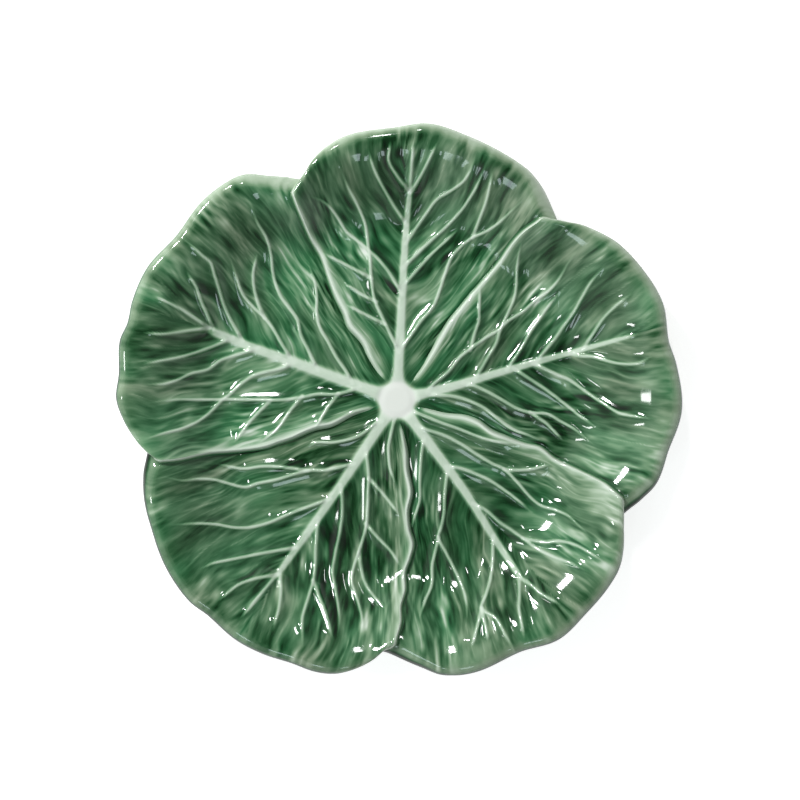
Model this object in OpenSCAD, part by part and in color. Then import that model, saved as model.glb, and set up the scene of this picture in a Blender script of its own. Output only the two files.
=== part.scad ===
// A dinner plate moulded as five cabbage leaves that lap over one another
// round a smooth heart, with raised ribs and a foot ring underneath.
// Millimetres, +Z up. The origin is the middle of the circle the foot rests on.

/* [Plate] */
// Reach of an average leaf, from the middle of the heart to its rim
leaf_reach = 133.2; // [110:0.1:150]
// Height of the rise from the flat well to the rim
wall_rise = 21.5; // [12:0.5:30]
// Thickness of the clay
clay_thick = 5; // [3.5:0.5:7]
// Share of the reach where the well starts to turn up
well_share = 0.58; // [0.57:0.01:0.64]
// Share of each line's own length where the wall levels off into the rim
level_share = 0.97; // [0.94:0.01:1.04]
// How far the rim's height follows the lobes: 0 level all round, 1 in step with them
follow_share = 0.8; // [0:0.1:1]

/* [Leaf edges] */
// Height of the free edge of a leaf over the leaf below it
edge_lift = 2.6; // [1:0.1:3.5]
// Width of the margin over which a leaf lifts towards its free edge
margin_w = 13; // [8:0.5:18]
// Rise and fall of the ruffle along a free edge
ruffle = 0.5; // [0:0.1:0.8]
// Length the lower leaf runs on under the upper one
tuck_w = 9; // [6:0.5:12]
// Width of the steep face of a free edge
edge_face_w = 1.6; // [1:0.1:2.5]
// Width of the rounding on the rim
lip_w = 1.8; // [1:0.1:2.4]

/* [Ribs] */
// Width of a midrib where it leaves the heart
midrib_w = 5.6; // [4:0.1:6.5]
// Width of a midrib at its tip
midrib_tip_w = 2.8; // [1.8:0.1:3.6]
// Width of a side vein at its root
vein_w = 2.4; // [1.4:0.1:3]
// Width of a side vein at its tip
vein_tip_w = 1.5; // [1:0.1:2]
// Height of a midrib over the leaf
midrib_h = 1.7; // [0.8:0.1:2.4]
// Height of a side vein over the leaf at its root
vein_h = 1; // [0.6:0.1:1.6]
// Height of a side vein over the leaf at its tip
vein_tip_h = 0.6; // [0.4:0.1:1]
// Depth that every rib is rooted in the leaf before it is trimmed to it
root_d = 1.6; // [1:0.1:2.2]

/* [Heart and foot] */
// Radius of the heart
heart_r = 8.4; // [7:0.1:9]
// Height of the edge of the heart over the leaves
heart_h = 1.2; // [0.6:0.1:2]
// Further height of the heart's domed top
heart_dome_h = 0.9; // [0.4:0.1:1.6]
// Radius of the foot ring, to the middle of its wall
foot_r = 70; // [50:0.5:72]
// Width of the foot ring where it joins the plate
foot_w = 6.5; // [5:0.5:9]
// Width of the bare face that the foot rests on
foot_face_w = 3; // [2:0.5:4]
// Height of the foot ring
foot_h = 4; // [2.5:0.5:6]

/* [Hidden] */
glaze = [0.24, 0.46, 0.32];
pale_glaze = [0.76, 0.84, 0.77];
heart_glaze = [0.87, 0.89, 0.87];

// Leaves in order anticlockwise, and the angle of each midrib from +X
back = 0;
left = 1;
front_left = 2;
front_right = 3;
right = 4;
midrib_at = [88, 159.5, 236, 308.5, 375.5];
leaf_count = len(midrib_at);
full_turn = 360;
mm_per_degree_at_1 = PI / 180;

// Rim of each leaf as [degrees from its midrib, share of the reach], notch to notch
rim_shares = [
    [[-37.1, 0.841], [-33.7, 0.873], [-30.5, 0.907], [-27, 0.932], [-21, 0.946],
     [-13, 0.962], [-4.5, 0.979], [3, 0.958], [12, 0.949], [18, 0.928], [22, 0.904],
     [25, 0.872], [27.7, 0.841]],
    [[-43.8, 0.841], [-41.2, 0.865], [-37.6, 0.909], [-34.5, 0.955], [-31.5, 0.972],
     [-25, 0.979], [-16, 0.968], [-7.5, 0.994], [0, 0.994], [4.5, 0.986], [8.5, 0.997],
     [15, 0.983], [20.5, 0.988], [26, 0.965], [30.9, 0.931], [33, 0.909], [34.3, 0.889]],
    [[-42.2, 0.889], [-40.2, 0.904], [-37.3, 0.93], [-33, 0.957], [-28, 0.976],
     [-20, 1.004], [-12, 1.017], [-7, 1.008], [0, 1.016], [6, 1.01], [12, 0.997],
     [17, 0.998], [22, 0.987], [26, 0.962], [29.4, 0.929], [31.8, 0.893], [33.2, 0.883]],
    [[-39.3, 0.883], [-37.4, 0.891], [-34.8, 0.914], [-31.9, 0.944], [-28.5, 0.981],
     [-22.5, 0.996], [-12.5, 0.986], [-4.5, 1.016], [3, 1.003], [10, 0.993],
     [15.5, 0.977], [20, 0.949], [24, 0.914], [26.9, 0.888]],
    [[-40.1, 0.888], [-38.2, 0.901], [-35.7, 0.924], [-31.8, 0.959], [-26, 0.971],
     [-17.5, 1.002], [-8, 0.99], [-3, 0.978], [4.5, 0.995], [12.5, 0.979], [20.5, 0.951],
     [28.5, 0.904], [31.5, 0.877], [33.8, 0.856], [35.4, 0.841]]];

// Free edge of each leaf as [share of the reach, degrees from its midrib]
edge_shares = [
    [[0.058, 32.5], [0.156, 33.2], [0.23, 31.2], [0.305, 34.1], [0.417, 31.8],
     [0.5, 30.3], [0.571, 29.2], [0.638, 29.6], [0.7, 29.4], [0.808, 28.6], [0.841, 27.7]],
    [[0.058, 37], [0.15, 34.8], [0.241, 39], [0.308, 37.8], [0.39, 39], [0.491, 39.1],
     [0.565, 37.8], [0.69, 35.7], [0.797, 35.3], [0.889, 34.3]],
    [[0.058, 42], [0.179, 41], [0.245, 39.9], [0.327, 41.4], [0.39, 38.5], [0.456, 38.3],
     [0.511, 39.5], [0.608, 36], [0.724, 34.5], [0.84, 33.3], [0.883, 33.2]],
    [[0.058, 32], [0.176, 33], [0.242, 36.2], [0.294, 35.6], [0.35, 32.4], [0.476, 31.8],
     [0.532, 32.5], [0.594, 30.6], [0.787, 29.2], [0.888, 26.9]],
    [[0.058, 34], [0.124, 33.5], [0.2, 36.5], [0.26, 39.1], [0.329, 40.2], [0.455, 39.2],
     [0.526, 38.5], [0.604, 37.9], [0.681, 38], [0.794, 36.1], [0.841, 35.4]]];

// Midrib of each leaf as [share of the reach, degrees from the leaf's own direction]
midrib_shares = [
    [[0.03, 0], [0.4, -0.5], [0.749, -1.4]],
    [[0.03, 0], [0.4, 0], [0.72, -0.6]],
    [[0.03, 0], [0.4, 0], [0.749, -0.6]],
    [[0.03, -1], [0.2, -2], [0.4, -2], [0.6, -3.4], [0.772, -3.7]],
    [[0.03, -1], [0.2, -1], [0.4, 0], [0.7, 0], [0.84, 0]]];

// Side veins of each leaf, from the midrib outwards, in the same terms
vein_shares = [
    [[[0.17, -0.2], [0.256, 9.7], [0.366, 14.7], [0.515, 12.9], [0.634, 12.4], [0.846, 15.8]],
     [[0.375, -0.5], [0.496, 9.2], [0.585, 16.4], [0.673, 20], [0.77, 24.3]],
     [[0.62, -1], [0.737, 5.3], [0.866, 8.4]],
     [[0.735, -1.3], [0.792, 2.2], [0.887, 3.7]],
     [[0.73, -1.4], [0.816, -4.6], [0.891, -6.3]],
     [[0.56, -1], [0.667, -6.8], [0.758, -12.1], [0.837, -15.5]],
     [[0.47, -0.6], [0.586, -10.6], [0.706, -16.6], [0.873, -18.5]],
     [[0.18, -0.5], [0.241, -10.3], [0.357, -18.8], [0.54, -18.7], [0.633, -22.8],
      [0.832, -30.1]],
     [[0.633, -22.8], [0.701, -22.4], [0.848, -20.9]],
     [[0.273, 11.5], [0.36, 27.5]],
     [[0.44, 14], [0.5, 21.5], [0.559, 26.5]]],
    [[[0.14, 0], [0.224, 14.9], [0.351, 19.2], [0.583, 20.2], [0.768, 20.3], [0.872, 21.1]],
     [[0.38, 0], [0.521, 11.2], [0.624, 20.9], [0.708, 26.6], [0.864, 28.9]],
     [[0.52, -0.2], [0.64, 7.8], [0.732, 13.1], [0.873, 16.8]],
     [[0.62, -0.4], [0.733, 7.3], [0.891, 12.1]],
     [[0.71, -0.6], [0.815, 3.5], [0.897, 5.3]],
     [[0.7, -0.6], [0.775, -6.4], [0.849, -10.3]],
     [[0.59, -0.5], [0.698, -8.3], [0.816, -15.9], [0.9, -16.4]],
     [[0.41, -0.3], [0.511, -9.7], [0.604, -12.4], [0.715, -17], [0.754, -19]],
     [[0.3, -0.2], [0.364, -9.1], [0.455, -18.4], [0.565, -21.7], [0.679, -28.5],
      [0.855, -32.6]],
     [[0.17, -0.5], [0.26, -14.4], [0.374, -22.6], [0.465, -31.7], [0.562, -35.5]],
     [[0.336, 18], [0.438, 32], [0.484, 34.5]]],
    [[[0.2, 0], [0.287, 13.3], [0.403, 18.8], [0.558, 19.6], [0.698, 21.8], [0.848, 25.7]],
     [[0.37, 0], [0.451, 8.3], [0.588, 12], [0.744, 17.6], [0.85, 19.8]],
     [[0.51, 0], [0.654, 7.6], [0.767, 9.7], [0.915, 12.7]],
     [[0.69, 8.5], [0.782, 14.9], [0.848, 18]],
     [[0.73, -0.6], [0.845, 4.4], [0.889, 5.1]],
     [[0.74, -0.6], [0.802, -4.6], [0.922, -7.6]],
     [[0.635, -0.5], [0.752, -9.4], [0.895, -15.2]],
     [[0.43, -0.4], [0.555, -9.7], [0.678, -14.8], [0.775, -21.8], [0.895, -26.8]],
     [[0.28, -0.3], [0.353, -11.8], [0.401, -17.8], [0.516, -23], [0.618, -26.3],
      [0.751, -34.4], [0.853, -37.2]],
     [[0.401, -17.8], [0.532, -29.5], [0.656, -35]],
     [[0.09, -2], [0.17, -12.3], [0.274, -23.2], [0.345, -28.7]],
     [[0.292, 13.8], [0.34, 25], [0.385, 31.5]],
     [[0.46, 19.5], [0.529, 30], [0.567, 32.5]]],
    [[[0.12, -1], [0.206, 14.5], [0.339, 17.3], [0.448, 18.7], [0.582, 15.4], [0.724, 17.4],
      [0.825, 16.2]],
     [[0.448, 18.7], [0.529, 24.1], [0.566, 26.5]],
     [[0.3, -2], [0.371, 7.8], [0.5, 11.6], [0.603, 11.7]],
     [[0.46, -2.3], [0.605, 2.7], [0.722, 4.9], [0.89, 9.5]],
     [[0.657, 3.8], [0.754, 10.5], [0.903, 13.4]],
     [[0.75, -3.7], [0.85, -8.3], [0.921, -9.9]],
     [[0.77, -3.6], [0.843, -1.9], [0.893, -0.5]],
     [[0.59, -3.3], [0.703, -10.6], [0.788, -16.4], [0.93, -13.8]],
     [[0.31, -2], [0.376, -12.2], [0.504, -21.8], [0.642, -19.7], [0.818, -21.2]],
     [[0.504, -21.8], [0.596, -26.6], [0.748, -32]],
     [[0.16, -1.5], [0.244, -19], [0.361, -26], [0.441, -31.2]]],
    [[[0.12, -1], [0.208, 14], [0.321, 19.7], [0.543, 19.8], [0.711, 21.4], [0.811, 24.1]],
     [[0.312, 18.9], [0.403, 28.9], [0.45, 33.5]],
     [[0.29, -0.5], [0.402, 14.5], [0.49, 22.4], [0.62, 31], [0.706, 34.5]],
     [[0.41, 0], [0.529, 11.8], [0.674, 18]],
     [[0.515, 0], [0.649, 8.9], [0.852, 17.2]],
     [[0.69, 0], [0.782, 6.3], [0.881, 8.7]],
     [[0.63, 0], [0.752, -4.9], [0.89, -6]],
     [[0.5, 0], [0.612, -8.8], [0.738, -17], [0.902, -19.6]],
     [[0.43, 0], [0.538, -12.4], [0.694, -22.6]],
     [[0.25, -0.6], [0.374, -15.6], [0.47, -20.7], [0.578, -22.7], [0.69, -27.4]],
     [[0.11, -1], [0.191, -10.9], [0.308, -20.6], [0.422, -29.6], [0.53, -31.1]]]];

// Places along a leaf from the heart to the rim, in shares of its own reach there
heart_share = heart_r / leaf_reach;
row_shares = [0, 0.12, 0.24, 0.36, 0.47, 0.57, 0.64, 0.7, 0.76, 0.82, 0.88, 0.94, 1];
rows = len(row_shares) - 1;
// Facets across a leaf
columns = 16;
rib_sides = 4;
// Longest step of a rib on the wall, as a share of the reach
rib_step_share = 0.11;
smooth_facets = 64;
// Share of the reach over which a free edge lifts off, next to the heart
lift_off_share = 0.16;
// Share of the reach inside which the steep face of a free edge narrows with the leaf
steep_share = 0.35;
// Waves of the ruffle along a whole free edge
ruffle_waves = 3.5;
// Radius of the heart's dome as a share of the heart's, and its steps from edge to top
dome_share = 0.97;
dome_steps = 3;
// Hair's breadth between the heart and the ribs that end at it
heart_seam_share = 0.0005;
heart_seam_turn = 0.05;
// Steepness of a rib's flank: its top is this share of its foot
rib_top_share = 0.34;
half = 0.5;

// Value at a place t on the smooth curve through rows of [place, value]
function along(t, list) = let(
    last = len(list) - 1,
    i = max(0, min(last - 1, len([for (row = list) if (row[0] <= t) row]) - 1)),
    a = list[max(0, i - 1)], b = list[i], c = list[i + 1], d = list[min(last, i + 2)],
    gap = c[0] - b[0],
    f = max(0, min(1, (t - b[0]) / gap)),
    slope_b = (c[1] - a[1]) / (c[0] - a[0]) * gap,
    slope_c = (d[1] - b[1]) / (d[0] - b[0]) * gap)
    b[1] + f * (slope_b + f * (3 * (c[1] - b[1]) - 2 * slope_b - slope_c
        + f * (2 * (b[1] - c[1]) + slope_b + slope_c)));

// Smooth rise from 0 to 1
function ease(t) = let(f = max(0, min(1, t))) f * f * (3 - 2 * f);
function mix(a, b, t) = a + (b - a) * t;

// Leaf number and whole turns of a leaf counted on past either end
function leaf_no(k) = (k + leaf_count) % leaf_count;
function turned(k) = full_turn * floor(k / leaf_count);

// Share of the reach at the notch where leaf k ends on its free edge
function notch(k) = let(list = edge_shares[leaf_no(k)]) list[len(list) - 1][0];
// Angle of the free edge of leaf k at a share of the reach
function edge_at(k, share) =
    turned(k) + midrib_at[leaf_no(k)] + along(min(share, notch(k)), edge_shares[leaf_no(k)]);
// Share of the reach at the rim of leaf k, in a direction
function rim_at(k, angle) =
    along(angle - turned(k) - midrib_at[leaf_no(k)], rim_shares[leaf_no(k)]);
// The same, over to the leaf before k where the direction falls on that leaf
function rim_round(k, angle) =
    angle < edge_at(k - 1, 1) ? rim_at(k - 1, angle) : rim_at(k, angle);

// Height of the top of leaf k at a share of the reach in a direction, without its free edge
function top_z(k, share, angle) = let(rim = rim_round(k, angle))
    foot_h + clay_thick + wall_rise * mix(1, rim, follow_share)
        * ease((share - well_share) / (level_share * rim - well_share));
// Height that the free edge of leaf k adds there
function lift_z(k, share, angle) = let(
    gap = (edge_at(k, share) - angle) * share * leaf_reach * mm_per_degree_at_1,
    near = pow(max(0, 1 - gap / margin_w), 2),
    wave = ruffle * sin(full_turn * ruffle_waves * share))
    (edge_lift + wave) * near * ease((share - heart_share) / lift_off_share);

// Angle that the lower leaf runs on under the upper one at a share of the reach
function tuck_at(share) = let(
    run = max(share, well_share) * leaf_reach * mm_per_degree_at_1)
    tuck_w / run * ease((share - heart_share) / lift_off_share);

// Share of the reach at row i of a line that ends at a rim share
function row_share(i, rim) = mix(heart_share, rim - lip_w * half / leaf_reach, row_shares[i]);
function spot(share, angle, z) = let(r = share * leaf_reach) [r * cos(angle), r * sin(angle), z];

// Points of one line across leaf k: out along the top, round the lip and back underneath.
// The line is a share f of the way from the leaf's covered side to its free edge, moved
// back by a width, and its underside is moved back by a share of the tuck.
function line_angle(k, f, share, back_w) =
    mix(edge_at(k - 1, share), edge_at(k, share), f)
        - back_w / (max(share, steep_share) * leaf_reach * mm_per_degree_at_1);
function line_points(k, f, back_w, tuck_share, lifted) = let(
    end_top = line_angle(k, f, 1, back_w),
    end_low = end_top - tuck_share * tuck_at(1),
    rim_top = rim_round(k, end_top),
    rim_low = rim_round(k, end_low),
    top = [for (i = [0:rows]) let(
        share = row_share(i, rim_top), angle = line_angle(k, f, share, back_w))
        spot(share, angle, top_z(k, share, angle)
            + (lifted ? lift_z(k, share, angle) : 0)
            - (i == rows ? lip_w * 0.25 : 0))],
    low = [for (i = [rows:-1:0]) let(
        share = row_share(i, rim_low - lip_w * half / leaf_reach),
        angle = line_angle(k, f, share, back_w) - tuck_share * tuck_at(share))
        spot(share, angle, top_z(k, share, angle) - clay_thick)],
    lip = let(angle = mix(end_top, end_low, half))
        spot(mix(rim_top, rim_low, half), angle, mix(top[rows][2], low[0][2], half)))
    concat(top, [lip], low);

// Share of the tuck under a line: none in the middle of a leaf, all at its two sides
tuck_spread = 0.2;
function tuck_part(f) = max(0, 1 - min(f, 1 - f) / tuck_spread);

// A leaf as one closed skin over its lines; it shares its two sides with its neighbours
module leaf_solid(k) {
    own = [for (c = [1:columns]) c / (columns + 1)];
    lines = concat(
        [line_points(k, 0, 0, 1, false)],
        [for (f = own) line_points(k, f, 0, tuck_part(f), true)],
        [line_points(k, 1, edge_face_w, tuck_part(1 - half / columns), true)],
        [line_points(k + 1, 0, 0, 1, false)]);
    m = len(lines[0]);
    last = len(lines) - 1;
    skin = [for (c = [0:last - 1], p = [0:m - 1]) let(
        q = (p + 1) % m, a = c * m + p, b = c * m + q, d = a + m, e = b + m)
        each [[a, d, e], [a, e, b]]];
    side = [for (i = [0:rows - 1]) let(a = i, b = i + 1, d = m - 1 - i, e = m - 2 - i)
        each [[a, b, e], [a, e, d]]];
    tip = [[rows, rows + 1, rows + 2]];
    ends = concat(side, tip);
    polyhedron(
        points = [for (line = lines) each line],
        faces = concat(skin, ends, [for (face = ends) [for (j = [2:-1:0]) face[j] + last * m]]),
        convexity = 6);
}

// Outline of the heart: the inner ends of all the leaves, in order
function heart_ring() = [for (k = [0:leaf_count - 1], c = [0:columns + 1]) let(
    f = c / (columns + 1),
    whole = c <= columns,
    angle = line_angle(k, whole ? f : 1, heart_share, whole ? 0 : edge_face_w))
    [heart_r * cos(angle), heart_r * sin(angle)]];

// Places where a rib along a path has its knuckles: the path's own, and more on the wall
function stops(path) = concat(
    [for (i = [0:len(path) - 2]) let(
        a = path[i], b = path[i + 1],
        n = b[0] > well_share ? ceil((b[0] - a[0]) / rib_step_share) : 1)
        each [for (j = [0:n - 1]) mix(a, b, j / n)]],
    [path[len(path) - 1]]);

// One knuckle of a rib of a width, standing a height over leaf k, turned to face a way
module knuckle(k, at, w, h, facing) {
    share = at[0];
    angle = midrib_at[k] + at[1];
    z = top_z(k, share, angle) + lift_z(k, share, angle);
    // The flank spreads below the leaf as steeply as it does above it
    spread = 1 + (1 - rib_top_share) * root_d / h;
    translate(spot(share, angle, z - root_d)) rotate([0, 0, facing])
        cylinder(h = root_d + h, r1 = w * half * spread, r2 = w * half * rib_top_share,
            $fn = rib_sides);
}

// A rib along a path, narrowing from its root to its tip
module rib(k, path, root_w, tip_w, root_h, tip_h) {
    at = stops(path);
    last = len(at) - 1;
    function facing(i) = let(
        a = at[max(0, i - 1)], b = at[min(last, i + 1)],
        run = spot(b[0], midrib_at[k] + b[1], 0) - spot(a[0], midrib_at[k] + a[1], 0))
        atan2(run[1], run[0]);
    for (i = [0:last - 1]) hull() for (j = [i, i + 1])
        knuckle(k, at[j], mix(root_w, tip_w, j / last), mix(root_h, tip_h, j / last),
            facing(j));
}

// The raised ribs of a leaf, trimmed to the leaves and the heart that they stand on
module ribs(k) {
    color(pale_glaze) difference() {
        union() {
            rib(k, midrib_shares[k], midrib_w, midrib_tip_w, midrib_h, vein_h);
            for (path = vein_shares[k])
                rib(k, path, vein_w, vein_tip_w, vein_h, vein_tip_h);
        }
        leaf_solid(k);
        leaf_solid(k - 1);
        rotate([0, 0, heart_seam_turn]) scale(1 + heart_seam_share) heart_solid();
    }
}

module heart_solid() {
    linear_extrude(height = foot_h + clay_thick + heart_h) polygon(heart_ring());
}

module leaf(k) { color(glaze) leaf_solid(k); }
module leaf_back() { leaf(back); }
module leaf_left() { leaf(left); }
module leaf_front_left() { leaf(front_left); }
module leaf_front_right() { leaf(front_right); }
module leaf_right() { leaf(right); }
module ribs_back() { ribs(back); }
module ribs_left() { ribs(left); }
module ribs_front_left() { ribs(front_left); }
module ribs_front_right() { ribs(front_right); }
module ribs_right() { ribs(right); }

// The plug between the leaves and its low domed top
module heart() {
    top = foot_h + clay_thick + heart_h;
    dome_r = heart_r * dome_share;
    color(heart_glaze) union() {
        translate([0, 0, foot_h]) linear_extrude(height = top - foot_h) polygon(heart_ring());
        translate([0, 0, top]) rotate_extrude($fn = smooth_facets) polygon(concat(
            [[0, -heart_h * half], [dome_r, -heart_h * half]],
            [for (i = [0:dome_steps]) let(f = i / dome_steps)
                [dome_r * (1 - f), heart_dome_h * (1 - pow(1 - f, 2))]]));
    }
}

// The ring that the plate stands on, tapered to its bare face
module foot_ring() {
    color(glaze) rotate_extrude($fn = smooth_facets) polygon([
        [foot_r - foot_w * half, foot_h],
        [foot_r - foot_face_w * half, 0],
        [foot_r + foot_face_w * half, 0],
        [foot_r + foot_w * half, foot_h]]);
}

leaf_back();
leaf_left();
leaf_front_left();
leaf_front_right();
leaf_right();
ribs_back();
ribs_left();
ribs_front_left();
ribs_front_right();
ribs_right();
heart();
foot_ring();
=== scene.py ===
"""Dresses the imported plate: five glazed cabbage leaves, the heart and the foot ring.

Lengths are in metres and angles in degrees, in the frame of the CAD model. A share is a
part of the leaves' reach, from the middle of the heart to an average rim.
"""
from __future__ import annotations

import logging
from dataclasses import dataclass, field
from enum import Enum
from typing import ClassVar

import bpy
import numpy as np
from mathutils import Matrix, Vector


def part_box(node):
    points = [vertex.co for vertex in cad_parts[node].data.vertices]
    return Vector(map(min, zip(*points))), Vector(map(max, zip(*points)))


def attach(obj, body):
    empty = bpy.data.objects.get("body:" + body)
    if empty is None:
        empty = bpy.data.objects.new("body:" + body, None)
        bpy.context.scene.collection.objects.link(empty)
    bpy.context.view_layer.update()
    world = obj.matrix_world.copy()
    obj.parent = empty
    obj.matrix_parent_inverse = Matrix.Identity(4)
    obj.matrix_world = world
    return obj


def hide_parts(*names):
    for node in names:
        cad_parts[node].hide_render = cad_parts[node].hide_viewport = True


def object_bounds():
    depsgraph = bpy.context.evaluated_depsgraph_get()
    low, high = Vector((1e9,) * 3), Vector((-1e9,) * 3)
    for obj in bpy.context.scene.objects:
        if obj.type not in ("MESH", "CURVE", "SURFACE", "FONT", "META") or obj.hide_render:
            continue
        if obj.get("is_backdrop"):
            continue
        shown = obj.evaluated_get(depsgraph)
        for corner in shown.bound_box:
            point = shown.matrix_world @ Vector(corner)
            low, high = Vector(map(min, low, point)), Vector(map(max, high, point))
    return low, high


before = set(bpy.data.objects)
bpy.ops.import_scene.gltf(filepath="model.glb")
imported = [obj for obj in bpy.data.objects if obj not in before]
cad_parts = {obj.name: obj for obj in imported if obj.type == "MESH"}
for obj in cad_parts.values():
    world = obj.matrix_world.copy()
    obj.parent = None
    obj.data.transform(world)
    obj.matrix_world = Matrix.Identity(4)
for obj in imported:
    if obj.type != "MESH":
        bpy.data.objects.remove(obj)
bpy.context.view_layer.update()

LOG = logging.getLogger("plate")
MM = 0.001
FULL_TURN = 360.0
WIDTH_IN_REACHES = 1.988
Colour = tuple[int, int, int]
Rows = tuple[tuple[float, float], ...]
Stops = tuple[tuple[float, Colour], ...]
Weights = tuple[tuple[str, float], ...]


def srgb(red: int, green: int, blue: int) -> tuple[float, float, float, float]:
    """Turns a colour as it shows on a screen into the linear one that a shader takes.

    Args:
        red: Red, 0 to 255.
        green: Green, 0 to 255.
        blue: Blue, 0 to 255.

    Returns:
        The linear colour with an alpha of 1. A channel c becomes ((c + 0.055) / 1.055)
        to the power 2.4, or c / 12.92 where it is dark.
    """
    def linear(value: int) -> float:
        """One channel of the above."""
        c = value / 255.0
        return c / 12.92 if c <= 0.04045 else ((c + 0.055) / 1.055) ** 2.4
    return (linear(red), linear(green), linear(blue), 1.0)


def ease(t: np.ndarray | float) -> np.ndarray:
    """Rises smoothly from 0 to 1: 3 t squared less 2 t cubed, with t kept in that range."""
    f = np.clip(t, 0.0, 1.0)
    return f * f * (3.0 - 2.0 * f)


def mix(a: np.ndarray | float, b: np.ndarray | float, t: np.ndarray | float) -> np.ndarray:
    """Goes from a to b as t goes from 0 to 1, in a straight line."""
    return a + (b - a) * t


def along(t: np.ndarray | float, rows: Rows) -> np.ndarray:
    """Reads a smooth curve through rows of (place, value), as the CAD model reads it.

    Args:
        t: Places to read it at. Past either end the end's value holds.
        rows: The rows, in order of place.

    Returns:
        The values. Between two rows it is the cubic that has their values, and at each
        row the slope of the line through its two neighbours.
    """
    table = np.asarray(rows, float)
    x, y = table[:, 0], table[:, 1]
    last = len(x) - 1
    i = np.clip(np.searchsorted(x, t, side="right") - 1, 0, last - 1)
    before, after = np.maximum(i - 1, 0), np.minimum(i + 2, last)
    gap = x[i + 1] - x[i]
    f = np.clip((t - x[i]) / gap, 0.0, 1.0)
    slope_b = (y[i + 1] - y[before]) / (x[i + 1] - x[before]) * gap
    slope_c = (y[after] - y[i]) / (x[after] - x[i]) * gap
    rise = y[i + 1] - y[i]
    return y[i] + f * (slope_b + f * (3 * rise - 2 * slope_b - slope_c
                                      + f * (slope_b + slope_c - 2 * rise)))


def bell(value: np.ndarray, width: float) -> np.ndarray:
    """Falls from 1 at 0 to either side: exp(-(value / width) squared)."""
    return np.exp(-(value / width) ** 2)


def towards(angle: np.ndarray, azimuth: float) -> np.ndarray:
    """Gives the squared cosine of the angle off an azimuth, and 0 behind it."""
    return np.clip(np.cos(np.radians(angle - azimuth)), 0, 1) ** 2


def weigh(parts: dict[str, np.ndarray], weights: Weights) -> np.ndarray:
    """Adds up parts by their names, each times its weight."""
    return sum(weight * parts[name] for name, weight in weights)


@dataclass(frozen=True)
class Course:
    """A level that changes with ease, in rows of (start, width, level that it reaches)."""

    first: float
    rows: tuple[tuple[float, float, float], ...]

    def at(self, value: np.ndarray) -> np.ndarray:
        """Reads the level.

        Args:
            value: Where to read it.

        Returns:
            The first level, which goes over to that of each row in turn. Each change
            begins at its row's start and takes its width.
        """
        level = self.first
        for start, width, reached in self.rows:
            level = mix(level, reached, ease((value - start) / width))
        return level


@dataclass(frozen=True)
class Streaks:
    """Smooth noise drawn out into streaks, the same on every run."""

    seed: int
    cells: int = 61
    apart: float = 7.3

    def at(self, u: np.ndarray, v: np.ndarray) -> np.ndarray:
        """Reads one layer of noise.

        Args:
            u: First coordinate, in cells.
            v: Second coordinate, in cells.

        Returns:
            Values from -1 to 1: random ones at whole coordinates, and between them the
            eased blend of the four corners of the cell.
        """
        corner = np.random.default_rng(self.seed).uniform(-1, 1, (self.cells, self.cells))
        iu, iv = np.floor(u).astype(int), np.floor(v).astype(int)
        fu, fv = ease(u - iu), ease(v - iv)
        a, b = iu % self.cells, (iu + 1) % self.cells
        c, d = iv % self.cells, (iv + 1) % self.cells
        return mix(mix(corner[a, c], corner[b, c], fu), mix(corner[a, d], corner[b, d], fu), fv)

    def layered(self, u: np.ndarray, v: np.ndarray, layers: int) -> np.ndarray:
        """Adds layers of noise, each with half the height and twice the detail of the last.

        Args:
            u: First coordinate, in cells of the first layer.
            v: Second coordinate.
            layers: How many to add. Each uses the next seed and starts further on.

        Returns:
            Their sum, divided by the sum of their heights.
        """
        parts = [0.5 ** n * Streaks(self.seed + n).at(u * 2 ** n + self.apart * n, v * 2 ** n)
                 for n in range(layers)]
        return sum(parts) / sum(0.5 ** n for n in range(layers))


@dataclass(frozen=True)
class Cloud:
    """A kind of noise over the plane, in cells of one width from a start cell on."""

    cell: float
    start: float
    layers: int = 1
    draw: int = 0

    def read(self, seed: int, x: np.ndarray, y: np.ndarray) -> np.ndarray:
        """Reads the noise, from -1 to 1, with draw added to the seed."""
        return Streaks(seed + self.draw).layered(
            x / self.cell + self.start, y / self.cell + self.start, self.layers)


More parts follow.
